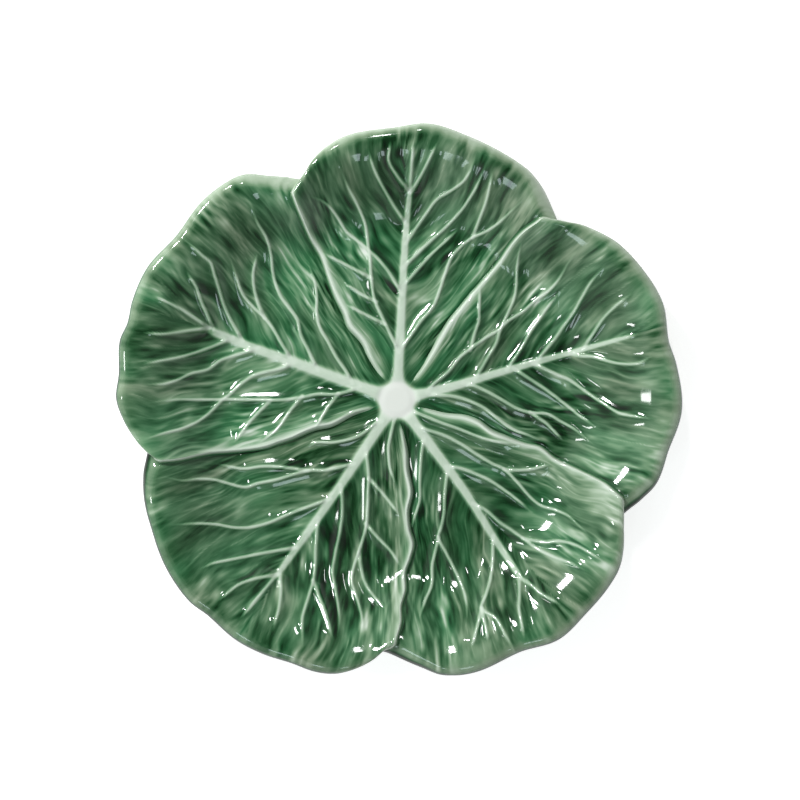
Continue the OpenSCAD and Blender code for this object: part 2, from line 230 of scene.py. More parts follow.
@dataclass(frozen=True)
class Vein:
    """A raised rib of a leaf: its path as (share, degrees from the midrib), and its sizes.

    Sizes come in pairs, at the root and at the tip. The crest is the rib proper, and the
    skirt is the broad hollow slope by which the blade climbs to it. The rib grows in over
    the length root and fades out over the last part, fade, of its path, which runs on a
    little past its last place. Flat is the part of the half width where the crest is
    level, soft is the range of it over which the pale mask falls, and flare is what the
    half width gains at the heart.
    """

    path: Rows
    width: tuple[float, float] = (2.6 * MM, 1.8 * MM)
    crest: tuple[float, float] = (0.6 * MM, 0.38 * MM)
    skirt: tuple[float, float] = (1.85 * MM, 0.8 * MM)
    skirt_w: tuple[float, float] = (4.5 * MM, 5.2 * MM)
    flat: float = 0.1
    fade: float = 0.24
    pale: tuple[float, float] = (0.77, 0.87)
    run_on: float = 0.035
    root: float = 4.5 * MM
    soft: tuple[float, float] = (0.3, 1.15)
    flare: float = 0.0
    shift: tuple[float, float] = (0.18 * MM, -0.18 * MM)
    shifted: float = 0.2

    def drawn(self, midrib_at: float, reach: float, step: float) -> np.ndarray:
        """Draws the path as evenly spaced points, at least four.

        Args:
            midrib_at: Direction of the leaf's midrib.
            reach: Length of one share.
            step: Space between the points.

        Returns:
            An array of (x, y) points on the smooth curve through the path's places, which
            are all shifted a little: fully from the share shifted on, and less within it.
        """
        rows = np.asarray(self.path, float)
        angle = np.radians(midrib_at + rows[:, 1])
        xy = np.stack([np.cos(angle), np.sin(angle)], 1) * rows[:, :1] * reach
        xy = xy + np.array(self.shift) * np.minimum(rows[:, :1] / self.shifted, 1.0)
        if self.run_on:
            last = xy[-1] - xy[-2]
            tip = xy[-1] + last / np.linalg.norm(last) * self.run_on * reach
            xy = np.concatenate([xy, tip[None, :]])
        run = np.concatenate([[0.0], np.cumsum(np.linalg.norm(np.diff(xy, axis=0), axis=1))])
        at = np.linspace(0.0, run[-1], max(4, int(run[-1] / step)))
        return np.stack([along(at, tuple(zip(run, xy[:, axis]))) for axis in (0, 1)], 1)


class Side(Enum):
    """The leaves in order anticlockwise from the back, by their nodes' ending."""

    BACK = "back"
    LEFT = "left"
    FRONT_LEFT = "front_left"
    FRONT_RIGHT = "front_right"
    RIGHT = "right"


@dataclass(frozen=True)
class LeafPlan:
    """What makes one leaf unlike the next, all seen from above.

    The seeds draw the glaze's patches, bands and tints.
    """

    side: Side
    midrib_at: float
    seeds: tuple[int, int, int]
    midrib_w: tuple[float, float]
    rim: Rows
    edge: Rows
    midrib: Rows
    veins: tuple[Rows, ...]

    def ribs(self) -> list[Vein]:
        """Lists the ribs with their sizes.

        Returns:
            The midrib, and then the side veins.
        """
        root_w, tip_w = self.midrib_w
        midrib = Vein(self.midrib, width=(root_w * MM, tip_w * MM),
                      crest=(0.4 * MM, 0.3 * MM), skirt=(1.5 * MM, 0.9 * MM),
                      skirt_w=(7.4 * MM, 6.5 * MM), flat=0.5, fade=0.07, pale=(0.96, 0.84),
                      run_on=0.01, root=0.0, soft=(0.5, 1.3), flare=0.9 * MM,
                      shift=(0.3 * MM, -0.3 * MM))
        return [midrib, *(Vein(path) for path in self.veins)]


PLANS = (
    LeafPlan(
        Side.BACK, 88.0,
        seeds=(1638, 15119, 22970),
        midrib_w=(6.2, 2.8),
        rim=((-37.1, .841), (-33.7, .873), (-30.5, .907), (-27, .932), (-21, .946),
             (-13, .962), (-4.5, .979), (3, .958), (12, .949), (18, .928), (22, .904),
             (25, .872), (27.7, .841)),
        edge=((.058, 32.5), (.156, 33.2), (.23, 31.2), (.305, 34.1), (.36, 32.5),
              (.417, 32), (.5, 30.5), (.571, 29.4), (.638, 29.7), (.7, 29.4),
              (.808, 28.6), (.841, 27.7)),
        midrib=((.03, 0), (.4, -.5), (.6, -.8), (.749, -1.4)),
        veins=(
            ((.17, -.2), (.256, 9.7), (.366, 14.7), (.445, 14), (.515, 12.9), (.576, 12.6),
             (.634, 12.4), (.704, 13.6), (.776, 15.1), (.846, 15.8)),
            ((.273, 11.5), (.31, 20), (.36, 27.5)),
            ((.356, 14), (.39, 20), (.43, 24.2)),
            ((.44, 14), (.5, 21.5), (.559, 27)),
            ((.375, -.5), (.449, 5.5), (.496, 9.2), (.535, 12.4), (.585, 16.4), (.624, 18.9),
             (.673, 20), (.718, 21.2), (.749, 22.6), (.77, 24.3)),
            ((.62, -1), (.685, 3), (.737, 5.3), (.783, 6.9), (.829, 8), (.866, 8.4)),
            ((.735, -1.3), (.792, 2.2), (.843, 4.1), (.887, 3.7)),
            ((.74, -1.4), (.81, -1.5), (.885, -1.5)),
            ((.73, -1.4), (.76, -2.8), (.816, -4.6), (.891, -6.3)),
            ((.555, -1), (.621, -4.7), (.667, -6.8), (.722, -9.2), (.758, -12.1),
             (.799, -14.6), (.837, -15.5), (.876, -15.8)),
            ((.47, -.6), (.537, -6.9), (.586, -10.6), (.646, -14.2), (.706, -16.6),
             (.756, -17.7), (.8, -18.3), (.873, -18.5)),
            ((.4, -.5), (.471, -7), (.528, -11), (.58, -14.4), (.624, -16.8)),
            ((.17, -.5), (.204, -6), (.241, -10.3), (.29, -14.4), (.357, -18.8), (.419, -19),
             (.486, -18.6), (.54, -18.7), (.592, -20.6), (.633, -22.8), (.669, -25.5),
             (.715, -27.6), (.774, -29), (.832, -30.1)),
            ((.633, -22.8), (.701, -22.4), (.769, -22), (.848, -20.9)),
        )),
    LeafPlan(
        Side.LEFT, 159.5,
        seeds=(1186, 10331, 22356),
        midrib_w=(7.2, 4.2),
        rim=((-43.8, .841), (-41.2, .865), (-37.6, .909), (-34.5, .955), (-31.5, .972),
             (-25, .979), (-16, .968), (-7.5, .994), (0, .994), (4.5, .986), (8.5, .997),
             (15, .983), (20.5, .988), (26, .965), (30.9, .931), (33, .909), (34.3, .889)),
        edge=((.058, 38), (.15, 36), (.241, 39.9), (.308, 38.5), (.39, 39.5), (.445, 39.5),
              (.491, 39.5), (.565, 38.2), (.622, 37.1), (.69, 35.9), (.797, 35.4),
              (.889, 34.3)),
        midrib=((.03, 0), (.2, .2), (.4, .2), (.55, .4), (.72, 0)),
        veins=(
            ((.14, 0), (.168, 8.5), (.224, 14.9), (.285, 16.1), (.351, 19.2), (.415, 20.3),
             (.468, 20.3), (.583, 20.2), (.706, 20.3), (.768, 20.3), (.872, 21.1)),
            ((.21, 14), (.25, 27), (.288, 36)),
            ((.336, 18), (.38, 26), (.438, 34), (.484, 36.5)),
            ((.448, 20.5), (.525, 28.6), (.576, 33.5)),
            ((.39, 0), (.419, 4.5), (.481, 8.6), (.521, 11.2), (.559, 14.9), (.592, 18.4),
             (.624, 20.9), (.664, 24.3), (.708, 26.6), (.767, 28), (.818, 28.4),
             (.864, 28.9), (.902, 29.4)),
            ((.525, -.2), (.593, 4.9), (.64, 7.8), (.675, 11.1), (.732, 13.1), (.775, 15.1),
             (.818, 16.4), (.873, 16.8)),
            ((.62, -.4), (.679, 4.3), (.733, 7.3), (.788, 9.5), (.851, 11.2), (.891, 12.1)),
            ((.71, -.6), (.763, 1.6), (.815, 3.5), (.86, 4.8), (.897, 5.3)),
            ((.71, -.6), (.8, -2.1), (.865, -2.6), (.915, -2.7)),
            ((.695, -.6), (.744, -4.4), (.775, -6.4), (.808, -8.7), (.849, -10.3)),
            ((.585, -.5), (.65, -5.1), (.698, -8.3), (.738, -11.3), (.779, -13.9),
             (.816, -15.9), (.854, -16.1), (.893, -16.4), (.932, -16.6)),
            ((.4, -.3), (.463, -6.2), (.511, -9.7), (.551, -11.3), (.604, -12.4),
             (.66, -13.9), (.715, -17), (.754, -19)),
            ((.551, -11.3), (.594, -14), (.642, -17.6), (.679, -21.1), (.702, -24.2)),
            ((.3, -.2), (.364, -9.1), (.416, -14), (.455, -18.4), (.505, -20), (.565, -21.7),
             (.628, -25.1), (.679, -28.5), (.735, -30.6), (.79, -31.2), (.855, -32.6)),
            ((.17, -.5), (.205, -8.5), (.26, -14.4), (.321, -19.7), (.374, -22.6),
             (.419, -26.6), (.465, -31.7), (.516, -34.8), (.562, -36.1)),
        )),
    LeafPlan(
        Side.FRONT_LEFT, 236.0,
        seeds=(3120, 14631, 21011),
        midrib_w=(6.6, 3.4),
        rim=((-42.2, .889), (-40.2, .904), (-37.3, .93), (-33, .957), (-28, .976),
             (-20, 1.004), (-12, 1.017), (-7, 1.008), (0, 1.016), (6, 1.01), (12, .997),
             (17, .998), (22, .987), (26, .962), (29.4, .929), (31.8, .893), (33.2, .883)),
        edge=((.058, 43), (.107, 42.2), (.179, 42.4), (.245, 41.1), (.327, 42), (.39, 38.9),
              (.456, 38.7), (.511, 39.8), (.558, 38.3), (.608, 36.3), (.67, 36.1),
              (.724, 34.7), (.781, 34.6), (.84, 33.5), (.883, 33.2)),
        midrib=((.03, 0), (.4, 0), (.749, -.6)),
        veins=(
            ((.2, 0), (.235, 7), (.287, 13.3), (.337, 16.1), (.403, 18.8), (.452, 20),
             (.505, 20), (.558, 19.6), (.61, 19.3), (.658, 19.8), (.698, 21.8),
             (.739, 23.6), (.796, 25.2), (.848, 25.7)),
            ((.292, 13.8), (.335, 25.5), (.385, 32.8)),
            ((.449, 19.6), (.49, 26), (.529, 31.1), (.567, 34)),
            ((.554, 19.8), (.605, 21.7), (.654, 24), (.69, 26.7), (.719, 29.4)),
            ((.36, 0), (.395, 4.3), (.451, 8.3), (.513, 10.5), (.588, 12), (.651, 13.4),
             (.695, 15.6), (.744, 17.6), (.793, 19.1), (.85, 19.8)),
            ((.5, 0), (.593, 4.9), (.654, 7.6), (.7, 8.9), (.767, 9.7), (.834, 10.4),
             (.883, 11.8), (.915, 12.7)),
            ((.7, 8.9), (.744, 12.3), (.782, 14.9), (.819, 16.8), (.848, 18)),
            ((.73, -.6), (.786, 2.6), (.845, 4.4), (.889, 5.1)),
            ((.74, -.6), (.828, -1.2), (.915, -1.6)),
            ((.745, -.6), (.802, -4.6), (.856, -6.8), (.922, -7.6)),
            ((.63, -.5), (.695, -5.9), (.752, -9.4), (.81, -12.3), (.863, -14.5),
             (.895, -15.2)),
            ((.42, -.4), (.5, -6.6), (.555, -9.7), (.618, -12.1), (.678, -14.8),
             (.726, -17.9), (.775, -21.8), (.831, -24.6), (.895, -26.8)),
            ((.27, -.3), (.353, -11.8), (.401, -17.8), (.516, -23), (.574, -25.3),
             (.618, -26.3), (.665, -29.9), (.7, -32.4), (.751, -34.4), (.805, -35.5),
             (.853, -37.5)),
            ((.401, -17.8), (.473, -26.2), (.532, -30), (.595, -32.1), (.656, -35.6)),
            ((.09, -2), (.11, -9), (.17, -12.3), (.219, -17.2), (.274, -23.2),
             (.318, -28.3), (.345, -28.7)),
            ((.06, 26), (.1, 24), (.165, 23.2), (.235, 27.3), (.278, 31.2)),
        )),
    LeafPlan(
        Side.FRONT_RIGHT, 308.5,
        seeds=(3258, 14572, 24119),
        midrib_w=(6.4, 3.2),
        rim=((-39.3, .883), (-37.4, .891), (-34.8, .914), (-31.9, .944), (-28.5, .981),
             (-22.5, .996), (-12.5, .986), (-4.5, 1.016), (3, 1.003), (10, .993),
             (15.5, .977), (20, .949), (24, .914), (26.9, .888)),
        edge=((.058, 32), (.094, 32), (.176, 33), (.242, 36.2), (.294, 35.6), (.35, 32.4),
              (.408, 31.9), (.476, 31.8), (.532, 32.5), (.594, 30.6), (.659, 30.1),
              (.787, 29.2), (.834, 28.2), (.888, 26.9)),
        midrib=((.03, -1), (.2, -2), (.4, -2), (.6, -3.4), (.772, -3.7)),
        veins=(
            ((.11, -1), (.137, 4.5), (.206, 14.5), (.273, 17), (.339, 17.3), (.401, 17.8),
             (.448, 18.7), (.512, 17.2), (.582, 15.4), (.627, 15.3), (.676, 16.7),
             (.724, 17.4), (.782, 16.8), (.825, 16.2)),
            ((.448, 18.7), (.485, 20.9), (.529, 24.1), (.566, 27.2)),
            ((.29, -2), (.317, 3.2), (.371, 7.8), (.432, 10.6), (.5, 11.6), (.559, 11.9),
             (.603, 11.7)),
            ((.45, -2.3), (.5, .4), (.562, 1.5), (.605, 2.7), (.657, 3.8), (.722, 4.9),
             (.775, 6.4), (.837, 8.4), (.89, 9.5)),
            ((.657, 3.8), (.719, 7.5), (.754, 10.5), (.804, 12.4), (.858, 13.1),
             (.903, 13.4)),
            ((.06, 16), (.12, 22), (.174, 24.4), (.241, 26.6), (.298, 27.2), (.352, 28.1),
             (.406, 29.7), (.436, 30.8)),
            ((.75, -3.7), (.803, -6.2), (.85, -8.3), (.921, -9.9)),
            ((.765, -3.6), (.8, -2.6), (.843, -1.9), (.893, -.5)),
            ((.585, -3.3), (.654, -7.6), (.703, -10.6), (.75, -13.9), (.788, -16.4),
             (.839, -14.2), (.904, -13.8), (.962, -13.4)),
            ((.788, -16.4), (.852, -17.2), (.876, -17.5)),
            ((.788, -16.4), (.88, -20.7)),
            ((.3, -2), (.327, -6.5), (.376, -12.2), (.426, -15.7), (.474, -19.5),
             (.504, -21.8), (.57, -20.7), (.642, -19.7), (.717, -19.3), (.774, -20.1),
             (.818, -21.2)),
            ((.504, -21.8), (.554, -24.6), (.596, -26.6), (.661, -28), (.71, -30.5),
             (.748, -32)),
            ((.16, -1.5), (.192, -11.5), (.244, -19), (.306, -23.6), (.361, -26),
             (.416, -30.1), (.441, -31.6)),
        )),
    LeafPlan(
        Side.RIGHT, 375.5,
        seeds=(3476, 10645, 20742),
        midrib_w=(6.0, 2.0),
        rim=((-40.1, .888), (-38.2, .901), (-35.7, .924), (-31.8, .959), (-26, .971),
             (-17.5, 1.002), (-8, .99), (-3, .978), (4.5, .995), (12.5, .979),
             (20.5, .951), (28.5, .904), (31.5, .877), (33.8, .856), (35.4, .841)),
        edge=((.058, 34), (.124, 33.1), (.2, 36), (.26, 38.5), (.329, 39.6),
              (.392, 39), (.455, 38.6), (.526, 37.9), (.604, 37.5), (.681, 37.8),
              (.739, 37.3), (.794, 36.1), (.841, 35.4)),
        midrib=((.03, -1), (.2, -1), (.4, 0), (.7, 0), (.886, 0)),
        veins=(
            ((.11, -1), (.138, 8), (.208, 14), (.266, 18.9), (.321, 19.7), (.382, 19.8),
             (.435, 19.3), (.483, 20.1), (.543, 19.8), (.599, 20.4), (.661, 20.4),
             (.711, 21.4), (.768, 23.2), (.811, 24.1)),
            ((.312, 18.9), (.357, 25), (.403, 28.9), (.431, 32.4), (.479, 37)),
            ((.28, -.5), (.31, 4.1), (.35, 9.5), (.402, 14.5), (.442, 19), (.49, 22.4),
             (.541, 25.2), (.58, 28.2), (.624, 32), (.669, 34.7), (.706, 36.3)),
            ((.4, 0), (.436, 3.9), (.48, 7.8), (.529, 11.8), (.58, 14.4), (.631, 16.6),
             (.674, 18)),
            ((.505, 0), (.545, 2.7), (.593, 5.6), (.649, 8.9), (.698, 11.3), (.74, 13.5),
             (.793, 15.8), (.852, 17.2)),
            ((.68, 0), (.736, 3.9), (.782, 6.3), (.836, 7.9), (.881, 8.7)),
            ((.63, 0), (.663, -1.9), (.706, -2.9), (.752, -4.9), (.797, -6.2),
             (.856, -6.8), (.89, -6)),
            ((.495, 0), (.564, -5.9), (.612, -8.8), (.655, -12.1), (.691, -14.5),
             (.738, -17), (.783, -18.8), (.847, -19.4), (.902, -19.6)),
            ((.425, 0), (.487, -7.7), (.538, -12.4), (.594, -16.9), (.645, -20.3),
             (.694, -22.6)),
            ((.24, -.6), (.275, -4.6), (.322, -10.3), (.374, -15.6), (.419, -19.1),
             (.47, -20.7), (.531, -20.7), (.578, -22.7), (.635, -24.8), (.69, -27.4)),
            ((.47, -20.7), (.529, -24.1), (.577, -27.5)),
            ((.11, -1), (.138, -8), (.191, -10.9), (.246, -15.3), (.308, -20.6),
             (.361, -26), (.422, -29.6), (.484, -30.4), (.53, -31.1)),
        )),
)


@dataclass(frozen=True)
class PlateForm:
    """The form that all the leaves share, by the same rules as the CAD model.

    Its sizes are the CAD model's too, apart from three that were fitted to the photograph:
    where the wall is level, the lift of the free edges and the thinner clay at the rim.
    Courses are read at the share, and those of the boss at the distance from its middle.
    """

    reach: float
    wall_rise: float = 21.5 * MM
    clay: float = 5.0 * MM
    rim_clay: float = 4.8 * MM
    rim_thins: Course = Course(0.0, ((0.86, 0.14, 1.0),))
    foot: float = 4.0 * MM
    well_share: float = 0.58
    level_share: float = 0.985
    follow_share: float = 0.8
    edge_lift: float = 2.2 * MM
    margin_w: float = 13.0 * MM
    ruffle: float = 0.5 * MM
    ruffle_waves: float = 3.5
    tuck_w: float = 9.0 * MM
    clear: Course = Course(0.0, ((0.063, 0.16, 1.0),))
    boss_h: float = 1.5 * MM
    boss_falls: Course = Course(1.0, ((5.0 * MM, 9.0 * MM, 0.0),))
    ribs_rise: Course = Course(0.0, ((5.0 * MM, 6.0 * MM, 1.0),))
    boss_pale: Course = Course(1.0, ((7.3 * MM, 4.2 * MM, 0.0),))

    @classmethod
    def from_frame(cls) -> PlateForm:
        """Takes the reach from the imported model's width, WIDTH_IN_REACHES times as long."""
        lo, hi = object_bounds()
        return cls(reach=float(hi[0] - lo[0]) / WIDTH_IN_REACHES)

    def degrees(self, width: float, share: np.ndarray, least: float) -> np.ndarray:
        """Turns a width into the angle it fills at a share, or at the least share."""
        return np.degrees(width / (np.maximum(share, least) * self.reach))

    def edge_at(self, k: int, share: np.ndarray) -> np.ndarray:
        """Reads where a leaf's free edge runs.

        Args:
            k: Number of the leaf, counted on past either end.
            share: Shares to read it at. Past the edge's last place it runs on straight out.

        Returns:
            The edge's angles.
        """
        plan = PLANS[k % len(PLANS)]
        turned = FULL_TURN * (k // len(PLANS)) + plan.midrib_at
        return turned + along(np.minimum(share, plan.edge[-1][0]), plan.edge)

    def rim_at(self, k: int, angle: np.ndarray) -> np.ndarray:
        """Gives the share at leaf k's rim in a direction."""
        plan = PLANS[k % len(PLANS)]
        return along(angle - FULL_TURN * (k // len(PLANS)) - plan.midrib_at, plan.rim)

    def edge_gap(self, k: int, share: np.ndarray, angle: np.ndarray) -> np.ndarray:
        """Gives the length of the arc from a direction on to leaf k's free edge."""
        return np.radians(self.edge_at(k, share) - angle) * share * self.reach

    def top(self, share: np.ndarray, rim: np.ndarray) -> np.ndarray:
        """Gives the height of the plain top.

        Args:
            share: Shares of the points.
            rim: Share of the rim on their lines.

        Returns:
            The well's height, and on the wall more: it rises with ease from the well to
            where it levels off, by the wall's rise times a factor that follows the rim.
        """
        rise = self.wall_rise * mix(1.0, rim, self.follow_share)
        up = ease((share - self.well_share) / (self.level_share * rim - self.well_share))
        return self.foot + self.clay + rise * up

    def lift(self, share: np.ndarray, gap: np.ndarray) -> np.ndarray:
        """Gives the lift of a free edge.

        Args:
            share: Shares of the points.
            gap: How far in from the edge they lie.

        Returns:
            The edge's lift and its ruffle, a sine of the share. They fall with ease over
            the margin, and come in with ease away from the heart.
        """
        near = 1.0 - ease(gap / self.margin_w)
        wave = self.ruffle * np.sin(np.radians(FULL_TURN * self.ruffle_waves * share))
        return (self.edge_lift + wave) * near * self.clear.at(share)

    def boss(self, radius: np.ndarray, ribs: np.ndarray) -> np.ndarray:
        """Joins boss and ribs, each by its course: the cube root of the sum of their cubes."""
        boss = self.boss_h * self.boss_falls.at(radius)
        return np.cbrt(boss ** 3 + (ribs * self.ribs_rise.at(radius)) ** 3)

    def tuck(self, share: np.ndarray) -> np.ndarray:
        """Gives the angle that a lower leaf runs on under the upper one, at a share."""
        return self.degrees(self.tuck_w, share, self.well_share) * self.clear.at(share)


@dataclass
class Ribs:
    """What the ribs of a leaf do to its surface, worked out for many points at once.

    STEP is the space between the drawn points of a path. Points within MARGIN of the
    path's box are measured, at most BLOCK pairs at once, and FAR is the gap where there
    is no rib. FLARE is read at the distance from the middle of the heart.
    """

    height: np.ndarray
    gap: np.ndarray
    pale: np.ndarray

    STEP: ClassVar[float] = 0.9 * MM
    MARGIN: ClassVar[float] = 9.0 * MM
    FAR: ClassVar[float] = 30.0 * MM
    BLOCK: ClassVar[int] = 4_000_000
    FOOT: ClassVar[float] = 1.3
    TIP_W: ClassVar[float] = 0.55
    ROUND: ClassVar[float] = 0.7
    HOLLOW: ClassVar[float] = 1.6
    TIP_GAP: ClassVar[float] = 4.0 * MM
    FLARE: ClassVar[Course] = Course(1.0, ((8.0 * MM, 7.0 * MM, 0.0),))

    @classmethod
    def over(cls, x: np.ndarray, y: np.ndarray, plan: LeafPlan, form: PlateForm,
             ribs: list[Vein]) -> Ribs:
        """Measures the ribs at points seen from above.

        For each rib it finds the nearest place on the drawn path. A rib comes in with ease
        over its root and ends with ease over its fade, where its width falls to TIP_W,
        and it flares towards the heart. With d the distance to it as a part of its half
        width, the crest falls with ease from flat to FOOT and the pale mask over its soft
        range. The skirt falls as (1 - a / its width) to the power HOLLOW, where a is the
        distance with its start rounded: the square root of (distance squared + h squared)
        less h, with h ROUND of the half width.

        Crests join as the fourth root of the sum of their fourth powers, and skirts as
        the cube root of the sum of their cubes. The gap is the smallest of all, with
        TIP_GAP added past a rib's end. Masks join as 1 less the product of (1 - mask).

        Args:
            x: First coordinates.
            y: Second coordinates.
            plan: The leaf.
            form: The plate's form.
            ribs: The ribs to measure.

        Returns:
            Heights, gaps to the nearest flank, and pale masks, shaped like x.
        """
        shape = x.shape
        points = np.stack([x.ravel(), y.ravel()], 1)
        crest, skirt, pale = (np.zeros(len(points)) for _ in range(3))
        gap = np.full(len(points), cls.FAR)
        for rib in ribs:
            path = rib.drawn(plan.midrib_at, form.reach, cls.STEP)
            length = np.linalg.norm(np.diff(path, axis=0), axis=1).sum()
            low, high = path.min(0) - cls.MARGIN, path.max(0) + cls.MARGIN
            close_by = np.flatnonzero(np.all((points > low) & (points < high), 1))
            blocks = max(1, len(close_by) * len(path) // cls.BLOCK)
            for part in np.array_split(close_by, blocks):
                if not len(part):
                    continue
                distance, place = cls.nearest(points[part], path)
                end = ease((1.0 - place) / rib.fade)
                grown = end * (ease(place * length / rib.root) if rib.root else 1.0)
                radius = np.linalg.norm(points[part], axis=1)
                half = mix(*rib.width, place) * 0.5 * mix(cls.TIP_W, 1.0, end)
                half = half + rib.flare * cls.FLARE.at(radius)
                d = distance / half
                bump = 1 - ease((d - rib.flat) / (cls.FOOT - rib.flat))
                away = np.hypot(distance, cls.ROUND * half) - cls.ROUND * half
                slope = np.clip(1 - away / mix(*rib.skirt_w, place), 0, 1) ** cls.HOLLOW
                inner, outer = rib.soft
                mask = mix(*rib.pale, place) * (1 - ease((d - inner) / (outer - inner))) * end
                crest[part] += (mix(*rib.crest, place) * bump * grown) ** 4
                skirt[part] += (mix(*rib.skirt, place) * slope * grown) ** 3
                gap[part] = np.minimum(gap[part], np.maximum(0.0, distance - half)
                                       + (1 - end) * cls.TIP_GAP)
                pale[part] = 1 - (1 - pale[part]) * (1 - mask)
        height = crest ** 0.25 + np.cbrt(skirt)
        return cls(height.reshape(shape), gap.reshape(shape), pale.reshape(shape))

    @staticmethod
    def nearest(points: np.ndarray, path: np.ndarray) -> tuple[np.ndarray, np.ndarray]:
        """Finds the nearest place on a path.

        Args:
            points: The points, one in each row.
            path: The drawn points of the path.

        Returns:
            The distance to it, and the place itself, from 0 to 1 along the path. The
            nearest drawn point is found first, and then the nearest place on the two
            stretches that meet there.
        """
        i = np.argmin(((points[:, None, :] - path[None, :, :]) ** 2).sum(2), 1)
        best = np.full(len(points), np.inf)
        place = np.zeros(len(points))
        last = len(path) - 1
        for start in (np.clip(i - 1, 0, last - 1), np.clip(i, 0, last - 1)):
            a, run = path[start], path[start + 1] - path[start]
            t = np.clip(((points - a) * run).sum(1) / (run ** 2).sum(1), 0.0, 1.0)
            far = np.linalg.norm(points - a - run * t[:, None], axis=1)
            closer = far < best
            best = np.where(closer, far, best)
            place = np.where(closer, (start + t) / last, place)
        return best, place


def linked(name: str, data: bpy.types.ID) -> bpy.types.Object:
    """Puts a mesh, a lamp or a camera in the scene.

    Args:
        name: Name of the object.
        data: What it shows.

    Returns:
        The new object.
    """
    made = bpy.data.objects.new(name, data)
    bpy.context.scene.collection.objects.link(made)
    return made


@dataclass
class Skin:
    """A closed mesh in the making: its points, faces and values at the points."""

    points: np.ndarray
    faces: list[np.ndarray]
    values: dict[str, np.ndarray] = field(default_factory=dict)

    def volume(self) -> float:
        """Measures the volume inside the faces.

        Returns:
            The sum of the signed volumes of the wedges from the origin to each triangle,
            below 0 where the faces are turned inwards.
        """
        total = 0.0
        for block in self.faces:
            a = self.points[block[:, 0]]
            for n in range(1, block.shape[1] - 1):
                b, c = self.points[block[:, n]], self.points[block[:, n + 1]]
                total += float(np.einsum("ij,ij->", a, np.cross(b, c))) / 6.0
        return total

    def to_object(self, name: str) -> bpy.types.Object:
        """Makes the mesh object, with its faces turned outwards.

        Args:
            name: The piece's name.

        Returns:
            The new object, smooth shaded, at the origin.
        """
        if self.volume() < 0:
            self.faces = [block[:, ::-1] for block in self.faces]
        corners = np.concatenate([block.ravel() for block in self.faces])
        sizes = np.concatenate([np.full(len(b), b.shape[1]) for b in self.faces])
        mesh = bpy.data.meshes.new(name)
        mesh.vertices.add(len(self.points))
        mesh.vertices.foreach_set("co", self.points.astype(np.float32).ravel())
        mesh.loops.add(len(corners))
        mesh.loops.foreach_set("vertex_index", corners.astype(np.int32))
        mesh.polygons.add(len(sizes))
        starts = np.concatenate([[0], np.cumsum(sizes)[:-1]])
        mesh.polygons.foreach_set("loop_start", starts.astype(np.int32))
        mesh.polygons.foreach_set("loop_total", sizes.astype(np.int32))
        for key, data in self.values.items():
            kind = "FLOAT" if data.ndim == 1 else "FLOAT_VECTOR"
            layer = mesh.attributes.new(key, kind, "POINT")
            layer.data.foreach_set("value" if data.ndim == 1 else "vector",
                                   data.astype(np.float32).ravel())
        mesh.update()
        mesh.validate()
        mesh.shade_smooth()
        return linked(name, mesh)


def grid_faces(across: int, around: int, wrap_across: bool) -> np.ndarray:
    """Joins a grid of closed loops into four-sided faces.

    Args:
        across: Number of loops.
        around: Points in each loop.
        wrap_across: Whether the last loop joins the first.

    Returns:
        Rows of four point numbers.
    """
    c, p = np.meshgrid(np.arange(across if wrap_across else across - 1), np.arange(around),
                       indexing="ij")
    d, q = (c + 1) % across, (p + 1) % around
    corners = [c * around + p, d * around + p, d * around + q, c * around + q]
    return np.stack([a.ravel() for a in corners], 1)


def all_round(count: int) -> np.ndarray:
    """Gives evenly spaced directions all round the axis, as a column in radians."""
    return np.radians(np.linspace(0, FULL_TURN, count, endpoint=False))[:, None]


def turned_skin(grid: np.ndarray, ends: tuple[float, float],
                values: dict[str, np.ndarray]) -> Skin:
    """Closes a turned section that starts and ends on the axis.

    Args:
        grid: Points by copy of the section round the axis, then by row, without poles.
        ends: Heights of the two poles, where the section starts and ends.
        values: Values at the points and then at the poles.

    Returns:
        The skin, with triangles that run to the two poles.
    """
    around, rows = grid.shape[:2]
    sides = grid_faces(around, rows, True).reshape(around, rows, 4)[:, :-1].reshape(-1, 4)
    j = np.arange(around)
    after = (j + 1) % around
    first, last = np.full_like(j, around * rows), np.full_like(j, around * rows + 1)
    caps = [np.stack([first, after * rows, j * rows], 1),
            np.stack([last, (j + 1) * rows - 1, (after + 1) * rows - 1], 1)]
    points = np.concatenate([grid.reshape(-1, 3), [[0, 0, height] for height in ends]])
    return Skin(points, [sides, np.concatenate(caps)], values)


def cap_faces(top: np.ndarray, low: np.ndarray) -> np.ndarray:
    """Closes the side between two rows of points that run the same way.

    Args:
        top: Numbers of the points of the longer row.
        low: Numbers of the points of the shorter row.

    Returns:
        Triangles. Each step of the long row meets the point of the short row that has
        come as far along, and each step of the short row meets the long row there.
    """
    long, short = len(top) - 1, len(low) - 1
    near = np.arange(long + 1) * short // long
    first = np.stack([top[:-1], top[1:], low[near[:-1]]], 1)
    jump = near[1:] > near[:-1]
    second = np.stack([low[near[:-1]][jump], top[1:][jump], low[near[1:]][jump]], 1)
    return np.concatenate([first, second])


